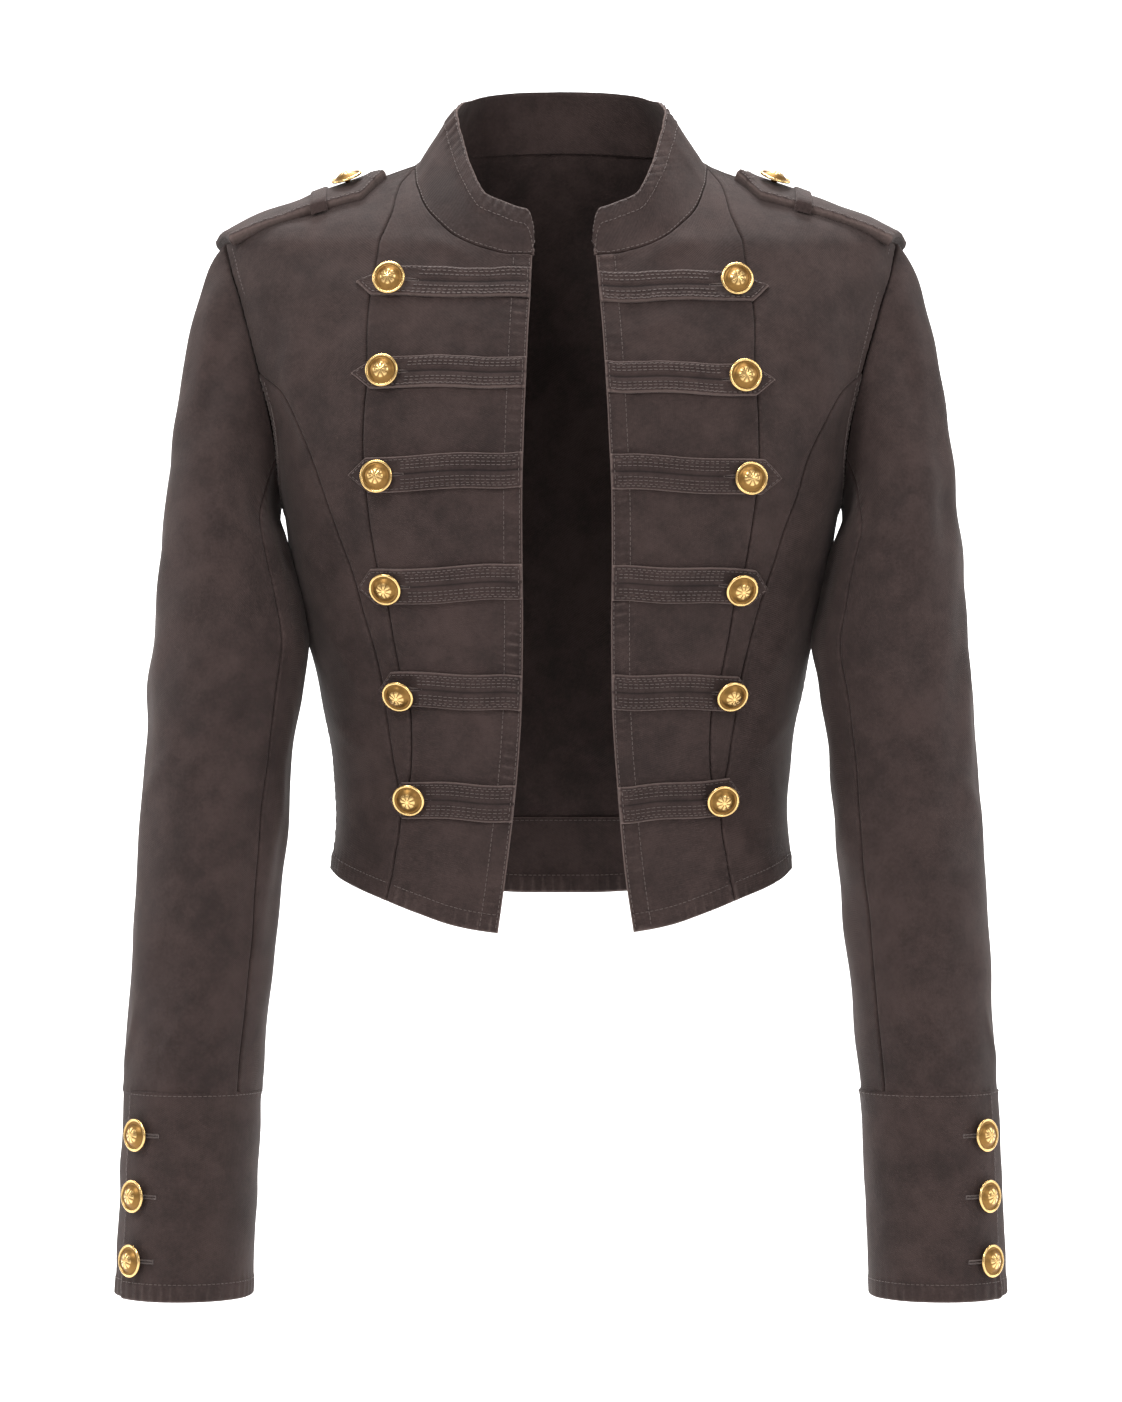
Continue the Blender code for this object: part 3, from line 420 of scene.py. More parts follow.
def edge_relief(distance, place, finish, seed):
    """Height, worn paleness, painted highlight and painted shade near one edge: a groove at a seam, a raised
    turning with stitch dimples and puckers.
    """
    groove, ridge, width, pucker, wear_and_painted_light, stitch_rows = FINISHES[finish]
    d, p = distance / MM, place / MM
    height = -groove * np.exp(-(d / GROOVE_WIDTH) ** 2)
    turning = smooth_step(0.2, 1.2, d) * smooth_step(width + 1.2, width - 0.6, d)
    height = height + ridge * turning
    wander = 2.2 * np.sin(p / 23 + seed) + 1.3 * np.sin(p / 9.7 + 2 * seed)
    wave = np.sin(p * 2 * np.pi / PUCKER_PITCH + wander)
    uneven = 0.55 + 0.45 * np.sin(p / 31 + 3 * seed) * np.sin(p / 17 + seed)
    puckered = smooth_step(width * 1.9, width * 0.5, d) * smooth_step(0.3, 1.6, d)
    height = height + pucker * wave * uneven * puckered
    # Paler at the turned edge, from wear and painted highlight, and on the puckers' raised crests, painted
    # highlight.
    worn_and_painted_light = wear_and_painted_light * (np.exp(-(d / 0.9) ** 2) + 0.55 * np.maximum(wave, 0) * uneven * puckered)
    # Painted shade: darker in a seam's groove.
    worn_and_painted_light = worn_and_painted_light - (0.9 * np.exp(-(d / 0.55) ** 2) if groove else 0)
    # Each stitch row is a dimple, darkened with painted shade.
    for row in stitch_rows:
        near = np.exp(-((d - row) / DIMPLE_WIDTH) ** 2)
        height = height - DIMPLE_DEPTH * near
        worn_and_painted_light = worn_and_painted_light - DIMPLE_SHADE * near
    return height * MM, worn_and_painted_light


def line_at(points, distance, offset, axis):
    """The line in a grid of points that lies at one distance from an edge, by linear interpolation."""
    if axis == 0:
        points, distance = points.swapaxes(0, 1), distance.T
    if distance[0, 0] > distance[0, -1]:
        points, distance = points[:, ::-1], distance[:, ::-1]
    i = np.clip((distance < offset).sum(1) - 1, 0, distance.shape[1] - 2)[:, None]
    low, high = np.take_along_axis(distance, i, 1), np.take_along_axis(distance, i + 1, 1)
    share = np.clip((offset - low) / np.maximum(high - low, 1e-9), 0, 1)[..., None]
    i = i[..., None]
    low, high = np.take_along_axis(points, i, 1), np.take_along_axis(points, i + 1, 1)
    return (low * (1 - share) + high * share)[:, 0]


def place_object(name, data):
    thing = bpy.data.objects.new(name, data)
    bpy.context.scene.collection.objects.link(thing)
    return thing


def add_mesh(name, points, faces, material, fields=(), uv=None):
    """One object from points and groups of faces with the same number of corners."""
    corners = np.concatenate([group.ravel() for group in faces])
    sizes = np.concatenate([np.full(len(group), group.shape[1]) for group in faces])
    mesh = bpy.data.meshes.new(name)
    mesh.vertices.add(len(points))
    mesh.vertices.foreach_set("co", np.ascontiguousarray(points, np.float32).ravel())
    mesh.loops.add(len(corners))
    mesh.loops.foreach_set("vertex_index", corners.astype(np.int32))
    mesh.polygons.add(len(sizes))
    mesh.polygons.foreach_set("loop_start", (np.cumsum(sizes) - sizes).astype(np.int32))
    mesh.update(calc_edges=True)
    mesh.shade_smooth()
    for label, values in fields:
        mesh.attributes.new(label, "FLOAT", "POINT").data.foreach_set("value", values.astype(np.float32))
    if uv is not None:
        mesh.uv_layers.new(name="cloth").data.foreach_set("uv", uv[corners].astype(np.float32).ravel())
    mesh.validate()
    mesh.materials.append(material)
    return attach(place_object(name, mesh), "root")


def shell(node, outer, inner, wear_and_painted_light, uv, material, normal):
    """Closed cloth shell between two grids. The inner grid keeps every second point of the outer one."""
    rows, columns = outer.shape[:2]
    coarse = inner[::2, ::2]
    index = np.arange(rows * columns).reshape(rows, columns)
    back = np.arange(coarse.shape[0] * coarse.shape[1]).reshape(coarse.shape[:2]) + rows * columns
    quads = np.stack([index[:-1, :-1], index[:-1, 1:], index[1:, 1:], index[1:, :-1]], -1).reshape(-1, 4)
    under = np.stack([back[1:, :-1], back[1:, 1:], back[:-1, 1:], back[:-1, :-1]], -1).reshape(-1, 4)
    rim = np.concatenate([index[0, :-1], index[:-1, -1], index[-1, :0:-1], index[:0:-1, 0]])
    low = np.concatenate([back[0, :-1], back[:-1, -1], back[-1, :0:-1], back[:0:-1, 0]])
    first, middle, last, next_low = rim[::2], rim[1::2], np.roll(rim[::2], -1), np.roll(low, -1)
    strips = np.concatenate([
        np.stack([middle, first, low], -1), np.stack([middle, low, next_low], -1),
        np.stack([last, middle, next_low], -1)])
    turned = np.cross(outer[0, 1] - outer[0, 0], outer[1, 0] - outer[0, 0]) @ normal[0, 0] < 0
    faces = [group[:, ::-1] if turned else group for group in (quads, under, strips)]
    points = np.concatenate([outer.reshape(-1, 3), coarse.reshape(-1, 3)])
    # The inner side takes half of the worn paleness, painted highlight and painted shade.
    worn_and_painted_light = np.concatenate([wear_and_painted_light.ravel(), wear_and_painted_light[::2, ::2].ravel() * 0.5])
    flat = np.concatenate([uv.reshape(-1, 2), uv[::2, ::2].reshape(-1, 2) * (-1, 1)])
    cloth = add_mesh(f"{node}_cloth", points, faces, material, [("wear_and_painted_light", worn_and_painted_light)], flat)
    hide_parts(node)
    corner = outer[:-1, :-1]
    face = np.linalg.norm(np.cross(outer[1:, :-1] - corner, outer[:-1, 1:] - corner), axis=-1).sum()


def cloth_piece(node, side, points, normals, finishes, material, group, relief=0, wear_and_painted_light=0, wall=WALL):
    """A cloth piece on a grid of the left side's form, moved out by its relief and mirrored for the right.

    The finishes are those of the first column, the last column, the first row and the last row. Each
    edge is rounded as half a circle of the wall's thickness.
    """
    steps_across = np.pad(np.linalg.norm(np.diff(points, axis=1), axis=-1), ((0, 0), (1, 0)))
    steps_up = np.pad(np.linalg.norm(np.diff(points, axis=0), axis=-1), ((1, 0), (0, 0)))
    x, y = np.cumsum(steps_across, 1), np.cumsum(steps_up, 0)
    distances = (x, x[:, -1:] - x, y, y[-1:] - y)
    height = np.zeros(points.shape[:2]) + relief
    # Per point: paleness from wear and painted highlight above zero, painted shade below it.
    worn_and_painted_light = np.zeros(points.shape[:2]) + wear_and_painted_light
    seed = sum(map(ord, node)) % 17
    for k, (distance, finish) in enumerate(zip(distances, finishes)):
        tall, rubbed_and_painted_light = edge_relief(distance, y if k < 2 else x, finish, seed + k)
        height, worn_and_painted_light = height + tall, worn_and_painted_light + rubbed_and_painted_light
    nearest = np.minimum.reduce(distances)
    round_edge = wall / 2 * (1 - np.sqrt(np.clip(1 - (1 - np.clip(nearest / (0.7 * wall), 0, 1)) ** 2, 0, 1)))
    mirror = np.array([side, 1, 1])
    outer = (points + normals * (height - round_edge)[..., None]) * mirror
    soft = np.minimum(height, 0.3 * MM)
    inner = (points + normals * (soft + round_edge - wall)[..., None]) * mirror
    normals = normals * mirror
    for k, (distance, finish) in enumerate(zip(distances, finishes)):
        for row in FINISHES[finish][-1]:
            axis = 1 if k < 2 else 0
            trim = slice(4, -4)
            stitch_lines[group].append((line_at(outer, distance, row * MM, axis)[trim],
                                        line_at(normals, distance, row * MM, axis)[trim]))
    uv = np.stack([x - x[:, -1:] / 2, y], -1)
    shell(node, outer, inner, worn_and_painted_light, uv, material, normals)


def body_piece(node, side, grid, finishes, material):
    """A panel on the body form, with the body's soft creases and a slight unevenness of the cloth."""
    turn, level = grid[..., 0], grid[..., 1]
    points, normals = body(turn, level), facing(body, turn, level)
    around = np.where(turn > 180, 360 - turn, turn)
    relief = creases(BODY_CREASES, side, around, level, BODY_REACH) + unevenness(points, side, "body")
    cloth_piece(node, side, points, normals, finishes, material, "body", relief)


def make_body(cloth):
    """Nine panels: centre fronts, side fronts, side panels, side backs and one back."""
    princess, armhole_princess = table_line(SHOULDER_PRINCESS), table_line(ARMHOLE_PRINCESS)
    joined, back_princess = table_line(JOINED_PRINCESS), table_line(BACK_PRINCESS)
    share = np.linspace(0, 1, LINE_POINTS)

    def hole(first, last):
        angles = first + (last - first) * share
        return pairs(armhole_turn(angles), armhole_level(angles))

    def climb(seam, start, end):
        levels = start + (end - start) * share
        return pairs(seam(levels), levels)

    def straight(first, last):
        return pairs(first[0] + (last[0] - first[0]) * share, first[1] + (last[1] - first[1]) * share)

    def level_line(level, first, last):
        turns = first + (last - first) * share
        return pairs(turns, level(180 - np.abs(turns - 180)))

    foot = climb(joined, float(hem_level(float(joined(PRINCESS_FOOT_LEVEL)))), PRINCESS_JOIN)
    seam = climb(princess, PRINCESS_JOIN, SHOULDER_PRINCESS[-1, 0])
    side_line = climb(armhole_princess, PRINCESS_JOIN, ARMHOLE_PRINCESS[-1, 0])
    shoulder = straight((SHOULDER_TIP_TURN, ARMHOLE[0, 1]),
                        (SHOULDER_NECK_TURN, float(neck_level(SHOULDER_NECK_TURN))))
    side_seam = straight((SIDE_SEAM_TURN, hem_level(SIDE_SEAM_TURN)), (ARMHOLE[6, 0], ARMHOLE[6, 1]))
    back_seam = climb(back_princess, float(hem_level(BACK_FOOT_TURN)), BACK_PRINCESS[-1, 0])

    for side, label in LABELS.items():
        edge = front_edges[side]
        front = climb(edge, float(hem_level(edge(FRONT_FOOT_LEVEL))),
                      float(neck_level(edge(FRONT_EDGE[-1, 0]))))
        grid = patch(front, np.concatenate([foot, seam[1:]]), level_line(hem_level, front[0, 0], foot[0, 0]),
                     level_line(neck_level, front[-1, 0], seam[-1, 0]), rows=201, columns=53)
        body_piece(f"centre_front_{label}", side, grid, ("edge", "seam", "hem", "seam"), cloth)

        right = np.concatenate([side_line, hole(90, 0)[1:], shoulder[1:]])
        grid = patch(seam, right, pairs(seam[0, 0] + 0.1 * share, PRINCESS_JOIN),
                     level_line(neck_level, seam[-1, 0], SHOULDER_NECK_TURN), rows=201, columns=45)
        body_piece(f"side_front_{label}", side, grid, ("seam", "seam", "plain", "seam"), cloth)

        grid = patch(np.concatenate([foot, side_line[1:]]), side_seam,
                     level_line(hem_level, foot[0, 0], SIDE_SEAM_TURN), hole(90, 180), rows=161, columns=45)
        body_piece(f"side_panel_{label}", side, grid, ("seam", "seam", "hem", "topped"), cloth)

        grid = patch(side_seam, back_seam, level_line(hem_level, SIDE_SEAM_TURN, BACK_FOOT_TURN),
                     hole(180, 270), rows=161, columns=49)
        body_piece(f"side_back_{label}", side, grid, ("seam", "seam", "hem", "topped"), cloth)
        add_armhole_topstitch(side)

    left = np.concatenate([back_seam, hole(270, 360)[1:], shoulder[1:]])
    grid = patch(left, left * (-1, 1) + (360, 0), level_line(hem_level, left[0, 0], 360 - left[0, 0]),
                 level_line(neck_level, SHOULDER_NECK_TURN, 360 - SHOULDER_NECK_TURN), rows=201, columns=121)
    body_piece("back", 1, grid, ("seam", "seam", "hem", "close"), cloth)


def make_hem_facing(cloth):
    """The turned-up band inside the back hem. Its seen side faces into the jacket."""
    share = np.linspace(0, 1, LINE_POINTS)
    turns = FACING_TURN + (360 - 2 * FACING_TURN) * share
    foot = hem_level(180 - np.abs(turns - 180)) + 0.06
    ends = foot[0] + (FACING_TOP - foot[0]) * share
    grid = patch(pairs(turns[0], ends), pairs(turns[-1], ends), pairs(turns, foot), pairs(turns, FACING_TOP),
                 rows=27, columns=91)
    turn, level = grid[..., 0], grid[..., 1]
    normals = facing(body, turn, level)
    cloth_piece("back_hem_facing", 1, body(turn, level) - normals * FACING_DEPTH, -normals,
                ("plain", "plain", "hem", "rim"), cloth, "body", wall=FACING_WALL)


def add_armhole_topstitch(side):
    """Stitches beside the armhole seam, on the body: the armhole's line, moved 7 mm away from its middle."""
    middle_turn, middle_level, turn_width, distance, under_strap = 90.0, -12.2, 0.32, 0.72, -5.2
    angle = np.linspace(4, 356, 300)
    turn, level = armhole_turn(angle), armhole_level(angle)
    away = unit(np.stack([(turn - middle_turn) * turn_width, level - middle_level], -1)) * distance
    turn, level = turn + away[:, 0] / turn_width, level + away[:, 1]
    normal = facing(body, turn, level)
    shown = level < under_strap
    stitch_lines["body"].append(((body(turn, level) + normal * 0.1 * MM)[shown] * (side, 1, 1),
                                 normal[shown] * (side, 1, 1)))


def sleeve(angle, run):
    """Point of the left sleeve. The angle goes from its outer side (0) over the front (90).

    Run 0 to 1 is the cap, a curve from the armhole down to the first level. From 1 on, each whole
    number is the next level of the table.
    """
    angle, run = np.broadcast_arrays(np.asarray(angle, float), np.asarray(run, float))
    steps = np.arange(len(SLEEVE_FORM))
    columns = [smooth_line(steps, SLEEVE_FORM[:, k]) for k in range(5)]
    turn = np.radians(angle)

    def tube(place):
        level, outside, inside, front, back = (column(place) for column in columns)
        return np.stack([(outside + inside) / 2 + (outside - inside) / 2 * np.cos(turn),
                         (front + back) / 2 - (back - front) / 2 * np.sin(turn), level + 0 * turn], -1) * CM

    hole = body(armhole_turn(angle), armhole_level(angle))
    start = unit(np.stack([closed_line(CAP_START[:, k])(angle) for k in (0, 1, 2)], -1) * (1, -1, 1))
    t = np.clip(run, 0, 1)[..., None]
    leave = start * closed_line(CAP_START[:, 3])(angle)[..., None] * CM
    slope = unit(tube(0 * turn + 0.08) - tube(0 * turn))
    arrive = slope * closed_line(CAP_END_PULL)(angle)[..., None] * CM
    cap = ((1 + 2 * t) * (1 - t) ** 2 * hole + t * (1 - t) ** 2 * leave
           + t * t * (3 - 2 * t) * tube(0 * turn) - t * t * (1 - t) * arrive)
    return np.where(run[..., None] < 1, cap, tube(np.maximum(run - 1, 0)))


def sleeve_run(level):
    """The sleeve's run at a level below the cap, read back from closely spaced runs."""
    steps = np.arange(len(SLEEVE_FORM))
    fine = np.linspace(0, steps[-1], 30 * steps[-1] + 1)
    return 1 + np.interp(-np.asarray(level), -smooth_line(steps, SLEEVE_FORM[:, 0])(fine), fine)


def sleeve_grid(angles, runs):
    """Points of the left sleeve over angles and runs, and the normals that point out of it."""
    run, angle = np.meshgrid(runs, angles, indexing="ij")
    across = sleeve(angle + 0.5, run) - sleeve(angle - 0.5, run)
    down = sleeve(angle, run + 0.02) - sleeve(angle, np.maximum(run - 0.02, 0))
    return sleeve(angle, run), unit(np.cross(across, down))


def sleeve_place(angle, level):
    """One point of the left sleeve and its normal."""
    return (grid[0, 0] for grid in sleeve_grid(np.array([angle]), np.array([sleeve_run(level)])))


def make_sleeves(cloth):
    """Two-piece sleeves: the top sleeve over the outer side, the under sleeve below it.

    Their rows are close at the armhole and where they end, a little way inside the cuff.
    """
    last = float(sleeve_run(CUFF_TOP - 0.4))
    cap = np.concatenate([[0, 0.002, 0.005, 0.01], np.linspace(0.02, 1, 66)[:-1]])
    levels = np.linspace(SLEEVE_FORM[0, 0], CUFF_TOP - 0.1, 148)
    runs = np.concatenate([cap, sleeve_run(levels), last - np.array([0.04, 0.02, 0.008, 0.003])])
    runs = runs[:len(runs) // 2 * 2 - 1]
    # Pieces: (name, first seam, last seam, columns, mean width)
    pieces = (("top_sleeve", BACK_SLEEVE_SEAM - 360, FRONT_SLEEVE_SEAM, 97, 0.18),
              ("under_sleeve", FRONT_SLEEVE_SEAM, BACK_SLEEVE_SEAM, 61, 0.12))
    for name, first, final, columns, width in pieces:
        angles = first + (final - first) * graded(columns, width)
        points, normals = sleeve_grid(angles, runs)
        for side, label in LABELS.items():
            around = np.broadcast_to(angles % 360, points.shape[:2])
            relief = creases(SLEEVE_CREASES, side, around, points[..., 2] / CM, SLEEVE_REACH)
            relief = relief + unevenness(points, side, "sleeve")
            cloth_piece(f"{name}_{label}", side, points, normals, ("seam",) * 4, cloth, "sleeve", relief)


def make_cuffs(cloth):
    """Each cuff wraps once round and under itself, with its free edge at the outer side of the front."""
    runs = sleeve_run(CUFF_TOP + (CUFF_BOTTOM - CUFF_TOP) * graded(65, 0.12))
    travelled = (360 + CUFF_OVERLAP) * graded(161, 0.27)
    angles = CUFF_EDGE_TURN + CUFF_OVERLAP - travelled
    tucked = smooth_step(2 * CUFF_OVERLAP + 8, CUFF_OVERLAP + 8, travelled) * CUFF_TUCK
    points, normals = sleeve_grid(angles, runs)
    points = points + normals * (CUFF_PROUD - tucked)[:, None]
    for side, label in LABELS.items():
        mirror = np.array([side, 1, 1])
        cloth_piece(f"cuff_{label}", side, points, normals, ("plain", "rim", "close", "hem"), cloth, "sleeve",
                    unevenness(points, side, "cuff"), wall=CUFF_WALL)
        for level in CUFF_BUTTON_LEVELS:
            point, normal = sleeve_place(CUFF_HOLE_TURN, level)
            onward = unit(sleeve(CUFF_HOLE_TURN + 2.5, sleeve_run(level)) - point)
            buttonhole((point + normal * (CUFF_PROUD + 0.2 * MM)) * mirror, onward * mirror, normal * mirror,
                       CUFF_HOLE_LENGTH, "sleeve")


def buttonhole(centre, direction, normal, length, group):
    """Short stitches across both lips of a slit, and a bar at its far end."""
    lip_place, lip_reach, bar_reach, bar_place = 0.75 * MM, 0.55 * MM, 1.5 * MM, 0.5 * MM
    across = np.cross(normal, direction)

    def stitch(middle, reach):
        ends = np.stack([middle - across * reach, middle + across * reach])
        stitch_lines[group].append((ends, np.stack([normal, normal])))

    for lip in (-1, 1):
        for place in np.linspace(-length / 2, length / 2, 15):
            stitch(centre + direction * place + across * lip * lip_place, lip_reach)
    stitch(centre + direction * (length / 2 + bar_place), bar_reach)


def make_collar(cloth):
    """The stand collar: cloth rises from the neck line and leans in. Its front ends have rounded corners."""
    height, lean = table_line(COLLAR), table_line(COLLAR, 2)
    up = np.array([0, 0, 1.0])
    share = graded(27, 0.038)[:, None]
    halves = []
    for side in (-1, 1):
        end_turn = float(front_edges[side](FRONT_EDGE[-1, 0])) - 0.3
        reach = 180 - end_turn
        near = COLLAR_ROUNDING * (1 - np.cos(np.radians(np.arange(0, 90, 4.5)))) / reach
        turns = end_turn + reach * np.concatenate([near, np.linspace(COLLAR_ROUNDING / reach, 1, 112)])
        base = body(turns, neck_level(turns))
        inward = unit((np.array([0, COLLAR_CENTRE * CM, 0]) - base) * (1, 1, 0))
        tilt = np.radians(lean(turns))[:, None]
        corner = np.sqrt(1 - np.clip(1 - (turns - end_turn) / COLLAR_ROUNDING, 0, 1) ** 2)
        tall = height(turns) * (COLLAR_END_SHARE + (1 - COLLAR_END_SHARE) * corner) * CM
        rise = (up * np.cos(tilt) + inward * np.sin(tilt)) * tall[:, None]
        belly = COLLAR_BELLY * np.sin(np.pi * share)[..., None] * -inward[None]
        outer = base[None] + rise[None] * share[..., None] + belly - up * COLLAR_LAP
        normal = unit(np.cross(np.gradient(outer, axis=1), np.gradient(outer, axis=0)))
        halves.append((outer * (side, 1, 1), normal * (side, 1, 1)))
    points = np.concatenate([halves[0][0], halves[1][0][:, -2::-1]], 1)
    normals = np.concatenate([halves[0][1], halves[1][1][:, -2::-1]], 1)
    cloth_piece("collar", 1, points, normals, ("rim", "rim", "close", "edge"), cloth, "body",
                unevenness(points, 1, "collar"), wall=COLLAR_WALL)


def make_tabs(cloth):
    """Six tabs on each front, from the front edge to a mitred point past the button."""
    length = graded(85, 0.10)
    height = graded(33, 0.02)[:, None] * 2 - 1
    for side, label in LABELS.items():
        edge = front_edges[side]
        for number, row in enumerate(tab_tables[side], 1):
            inner_level, tip_turn, tip_level, half, button_turn, _ = row
            start = float(edge(inner_level))
            narrowing = np.clip((1 - length) * (tip_turn - start) / TAB_POINT, TAB_TIP_SHARE, 1)
            wave = 0.055 * np.sin(length * 9 + number * 1.7 + side) * smooth_step(0, 0.15, length)
            level = inner_level + (tip_level - inner_level) * length + height * half * narrowing + wave
            begin = edge(level) + TAB_INSET
            turn = begin + (tip_turn - begin) * length
            hole = (button_turn - start) / (tip_turn - start) - 0.11
            make_tab(f"tab_{label}_{number}", side, number, turn, level, length, height, half, hole, cloth)


def make_tab(node, side, number, turn, level, length, height, half, hole, cloth):
    """One tab: two raised bands of close stitching, and a channel between them up to the buttonhole."""
    label, mirror = LABELS[side], np.array([side, 1, 1])
    points, normals = body(turn, level), facing(body, turn, level)
    middle = np.abs(height) * half * 10 + 0 * length
    worked = smooth_step(0.0, 0.04, length) * smooth_step(hole + 0.03, hole - 0.02, length)
    band = smooth_step(1.1, 1.7, middle) * smooth_step(half * 10, half * 10 - 1.0, middle) * worked
    before_hole = smooth_step(hole + 0.06, hole, length)
    rib = np.cos((middle - 2.2) / TAB_STITCH_PITCH * 2 * np.pi)
    channel = 0.45 * np.exp(-(middle / 0.8) ** 2) * before_hole
    relief = TAB_LIFT + TAB_WALL + (band * (0.35 - 0.16 * rib) - channel) * MM
    relief = relief + creases(BODY_CREASES, side, turn, level, BODY_REACH) + unevenness(points, side, "body")
    relief = relief + 0.25 * MM * np.sin(length * 31 + number) * np.abs(height)
    # Paler between the stitch rows and darker along them; darker down the channel before the buttonhole,
    # painted shade.
    wear_and_painted_light = band * 0.22 * rib - 0.7 * np.exp(-(middle / 0.7) ** 2) * before_hole
    cloth_piece(node, side, points, normals, ("rim", "plain", "rim", "rim"), cloth, "tab", relief, wear_and_painted_light,
                wall=TAB_WALL)

    lifted, normals = (points + normals * (relief + 0.1 * MM)[..., None]) * mirror, normals * mirror
    sewn = slice(5, int(np.searchsorted(length, hole)))
    for row in TAB_STITCH_ROWS:
        for across in (-1, 1):
            place = int(np.abs(height[:, 0] * half * 10 - across * row).argmin())
            stitch_lines["tab"].append((lifted[place, sewn], normals[place, sewn]))
    centre, column = len(height) // 2, int(np.searchsorted(length, hole + 0.01))
    inward = unit(lifted[centre, column] - lifted[centre, column + 2])
    buttonhole(lifted[centre, column], inward, normals[centre, column], TAB_HOLE_LENGTH, "tab")


def shoulder_top(across, back):
    """Point of the shoulder over a place in plan, in centimetres: its level is found by halving."""
    across, back = np.broadcast_arrays(np.asarray(across, float), np.asarray(back, float))
    low, high = np.full(across.shape, -7.0), np.full(across.shape, 1.5)
    turn = np.degrees(np.arctan2(across, -back))
    reach = np.hypot(across, back) * CM
    for _ in range(40):
        middle = (low + high) / 2
        inside = np.hypot(*np.moveaxis(body(turn, middle)[..., :2], -1, 0)) > reach
        low, high = np.where(inside, middle, low), np.where(inside, high, middle)
    return np.stack([across * CM, back * CM, middle * CM], -1)


def strap_point(across, back):
    """The shoulder under the strap, carried on straight over the shoulder's rounded end."""
    held = np.minimum(across, EPAULETTE_STRAIGHT)
    slope = (shoulder_top(EPAULETTE_STRAIGHT, back) - shoulder_top(EPAULETTE_STRAIGHT - 1.5, back)) / 1.5
    past = (across - held)[..., None]
    droop = EPAULETTE_DROOP * CM * (past / (EPAULETTE_END - EPAULETTE_STRAIGHT)) ** 3
    return shoulder_top(held, back) + slope * past - droop * (0, 0, 1)


def upward(form, across, back):
    """The normal of a form in plan, on its upper side."""
    normal = facing(form, across, back)
    return normal * np.sign(normal[..., 2:])


def make_epaulettes(cloth, brass):
    """A padded strap with a mitred point along each shoulder, its keeper and its button."""
    top = EPAULETTE_LIFT + EPAULETTE_WALL
    share = graded(33, 0.037)[:, None] * 2 - 1
    across = EPAULETTE_TIP + (EPAULETTE_END - EPAULETTE_TIP) * graded(85, 0.095) + 0 * share
    across = across + share * EPAULETTE_END_SLANT * np.clip((across - EPAULETTE_STRAIGHT) / 3, 0, 1)
    narrowing = np.clip((across - EPAULETTE_TIP) / EPAULETTE_POINT, 0.06, 1)
    back = EPAULETTE_MIDDLE + share * EPAULETTE_HALF_WIDTH * narrowing
    points, normals = strap_point(across, back), upward(strap_point, across, back)
    half_arch = np.array([0.3, 0.6, 0.8, 1.06, 1.10, 1.14, 1.17, 1.2])
    arch = np.concatenate([-half_arch[::-1], [0], half_arch])
    lift = np.interp(np.abs(arch), (1.06, 1.2), (top + 0.0009, 0.0006))
    place = KEEPER_PLACE + KEEPER_HALF_WIDTH * np.linspace(-1, 1, 11)
    band_across, band_back = np.meshgrid(place, EPAULETTE_MIDDLE + EPAULETTE_HALF_WIDTH * arch)
    band_normals = upward(strap_point, band_across, band_back)
    band = strap_point(band_across, band_back) + band_normals * lift[:, None, None]
    for side, label in LABELS.items():
        relief = top + PADDING * (1 - share**2) + unevenness(points, side, "epaulette")
        cloth_piece(f"epaulette_{label}", side, points, normals, ("edge", "seam", "rim", "rim"), cloth,
                    "sleeve", relief, wall=EPAULETTE_WALL)
        cloth_piece(f"epaulette_keeper_{label}", side, band + band_normals * KEEPER_WALL, band_normals,
                    ("plain",) * 4, cloth, "sleeve", wear_and_painted_light=0.1, wall=KEEPER_WALL)
        seat, middle = np.array(EPAULETTE_BUTTON), np.array(EPAULETTE_MIDDLE)
        normal = upward(strap_point, seat, middle) * (side, 1, 1)
        point = strap_point(seat, middle) * (side, 1, 1) + normal * (top + PADDING)
        make_button(f"epaulette_button_{label}", point, normal, normal, brass)


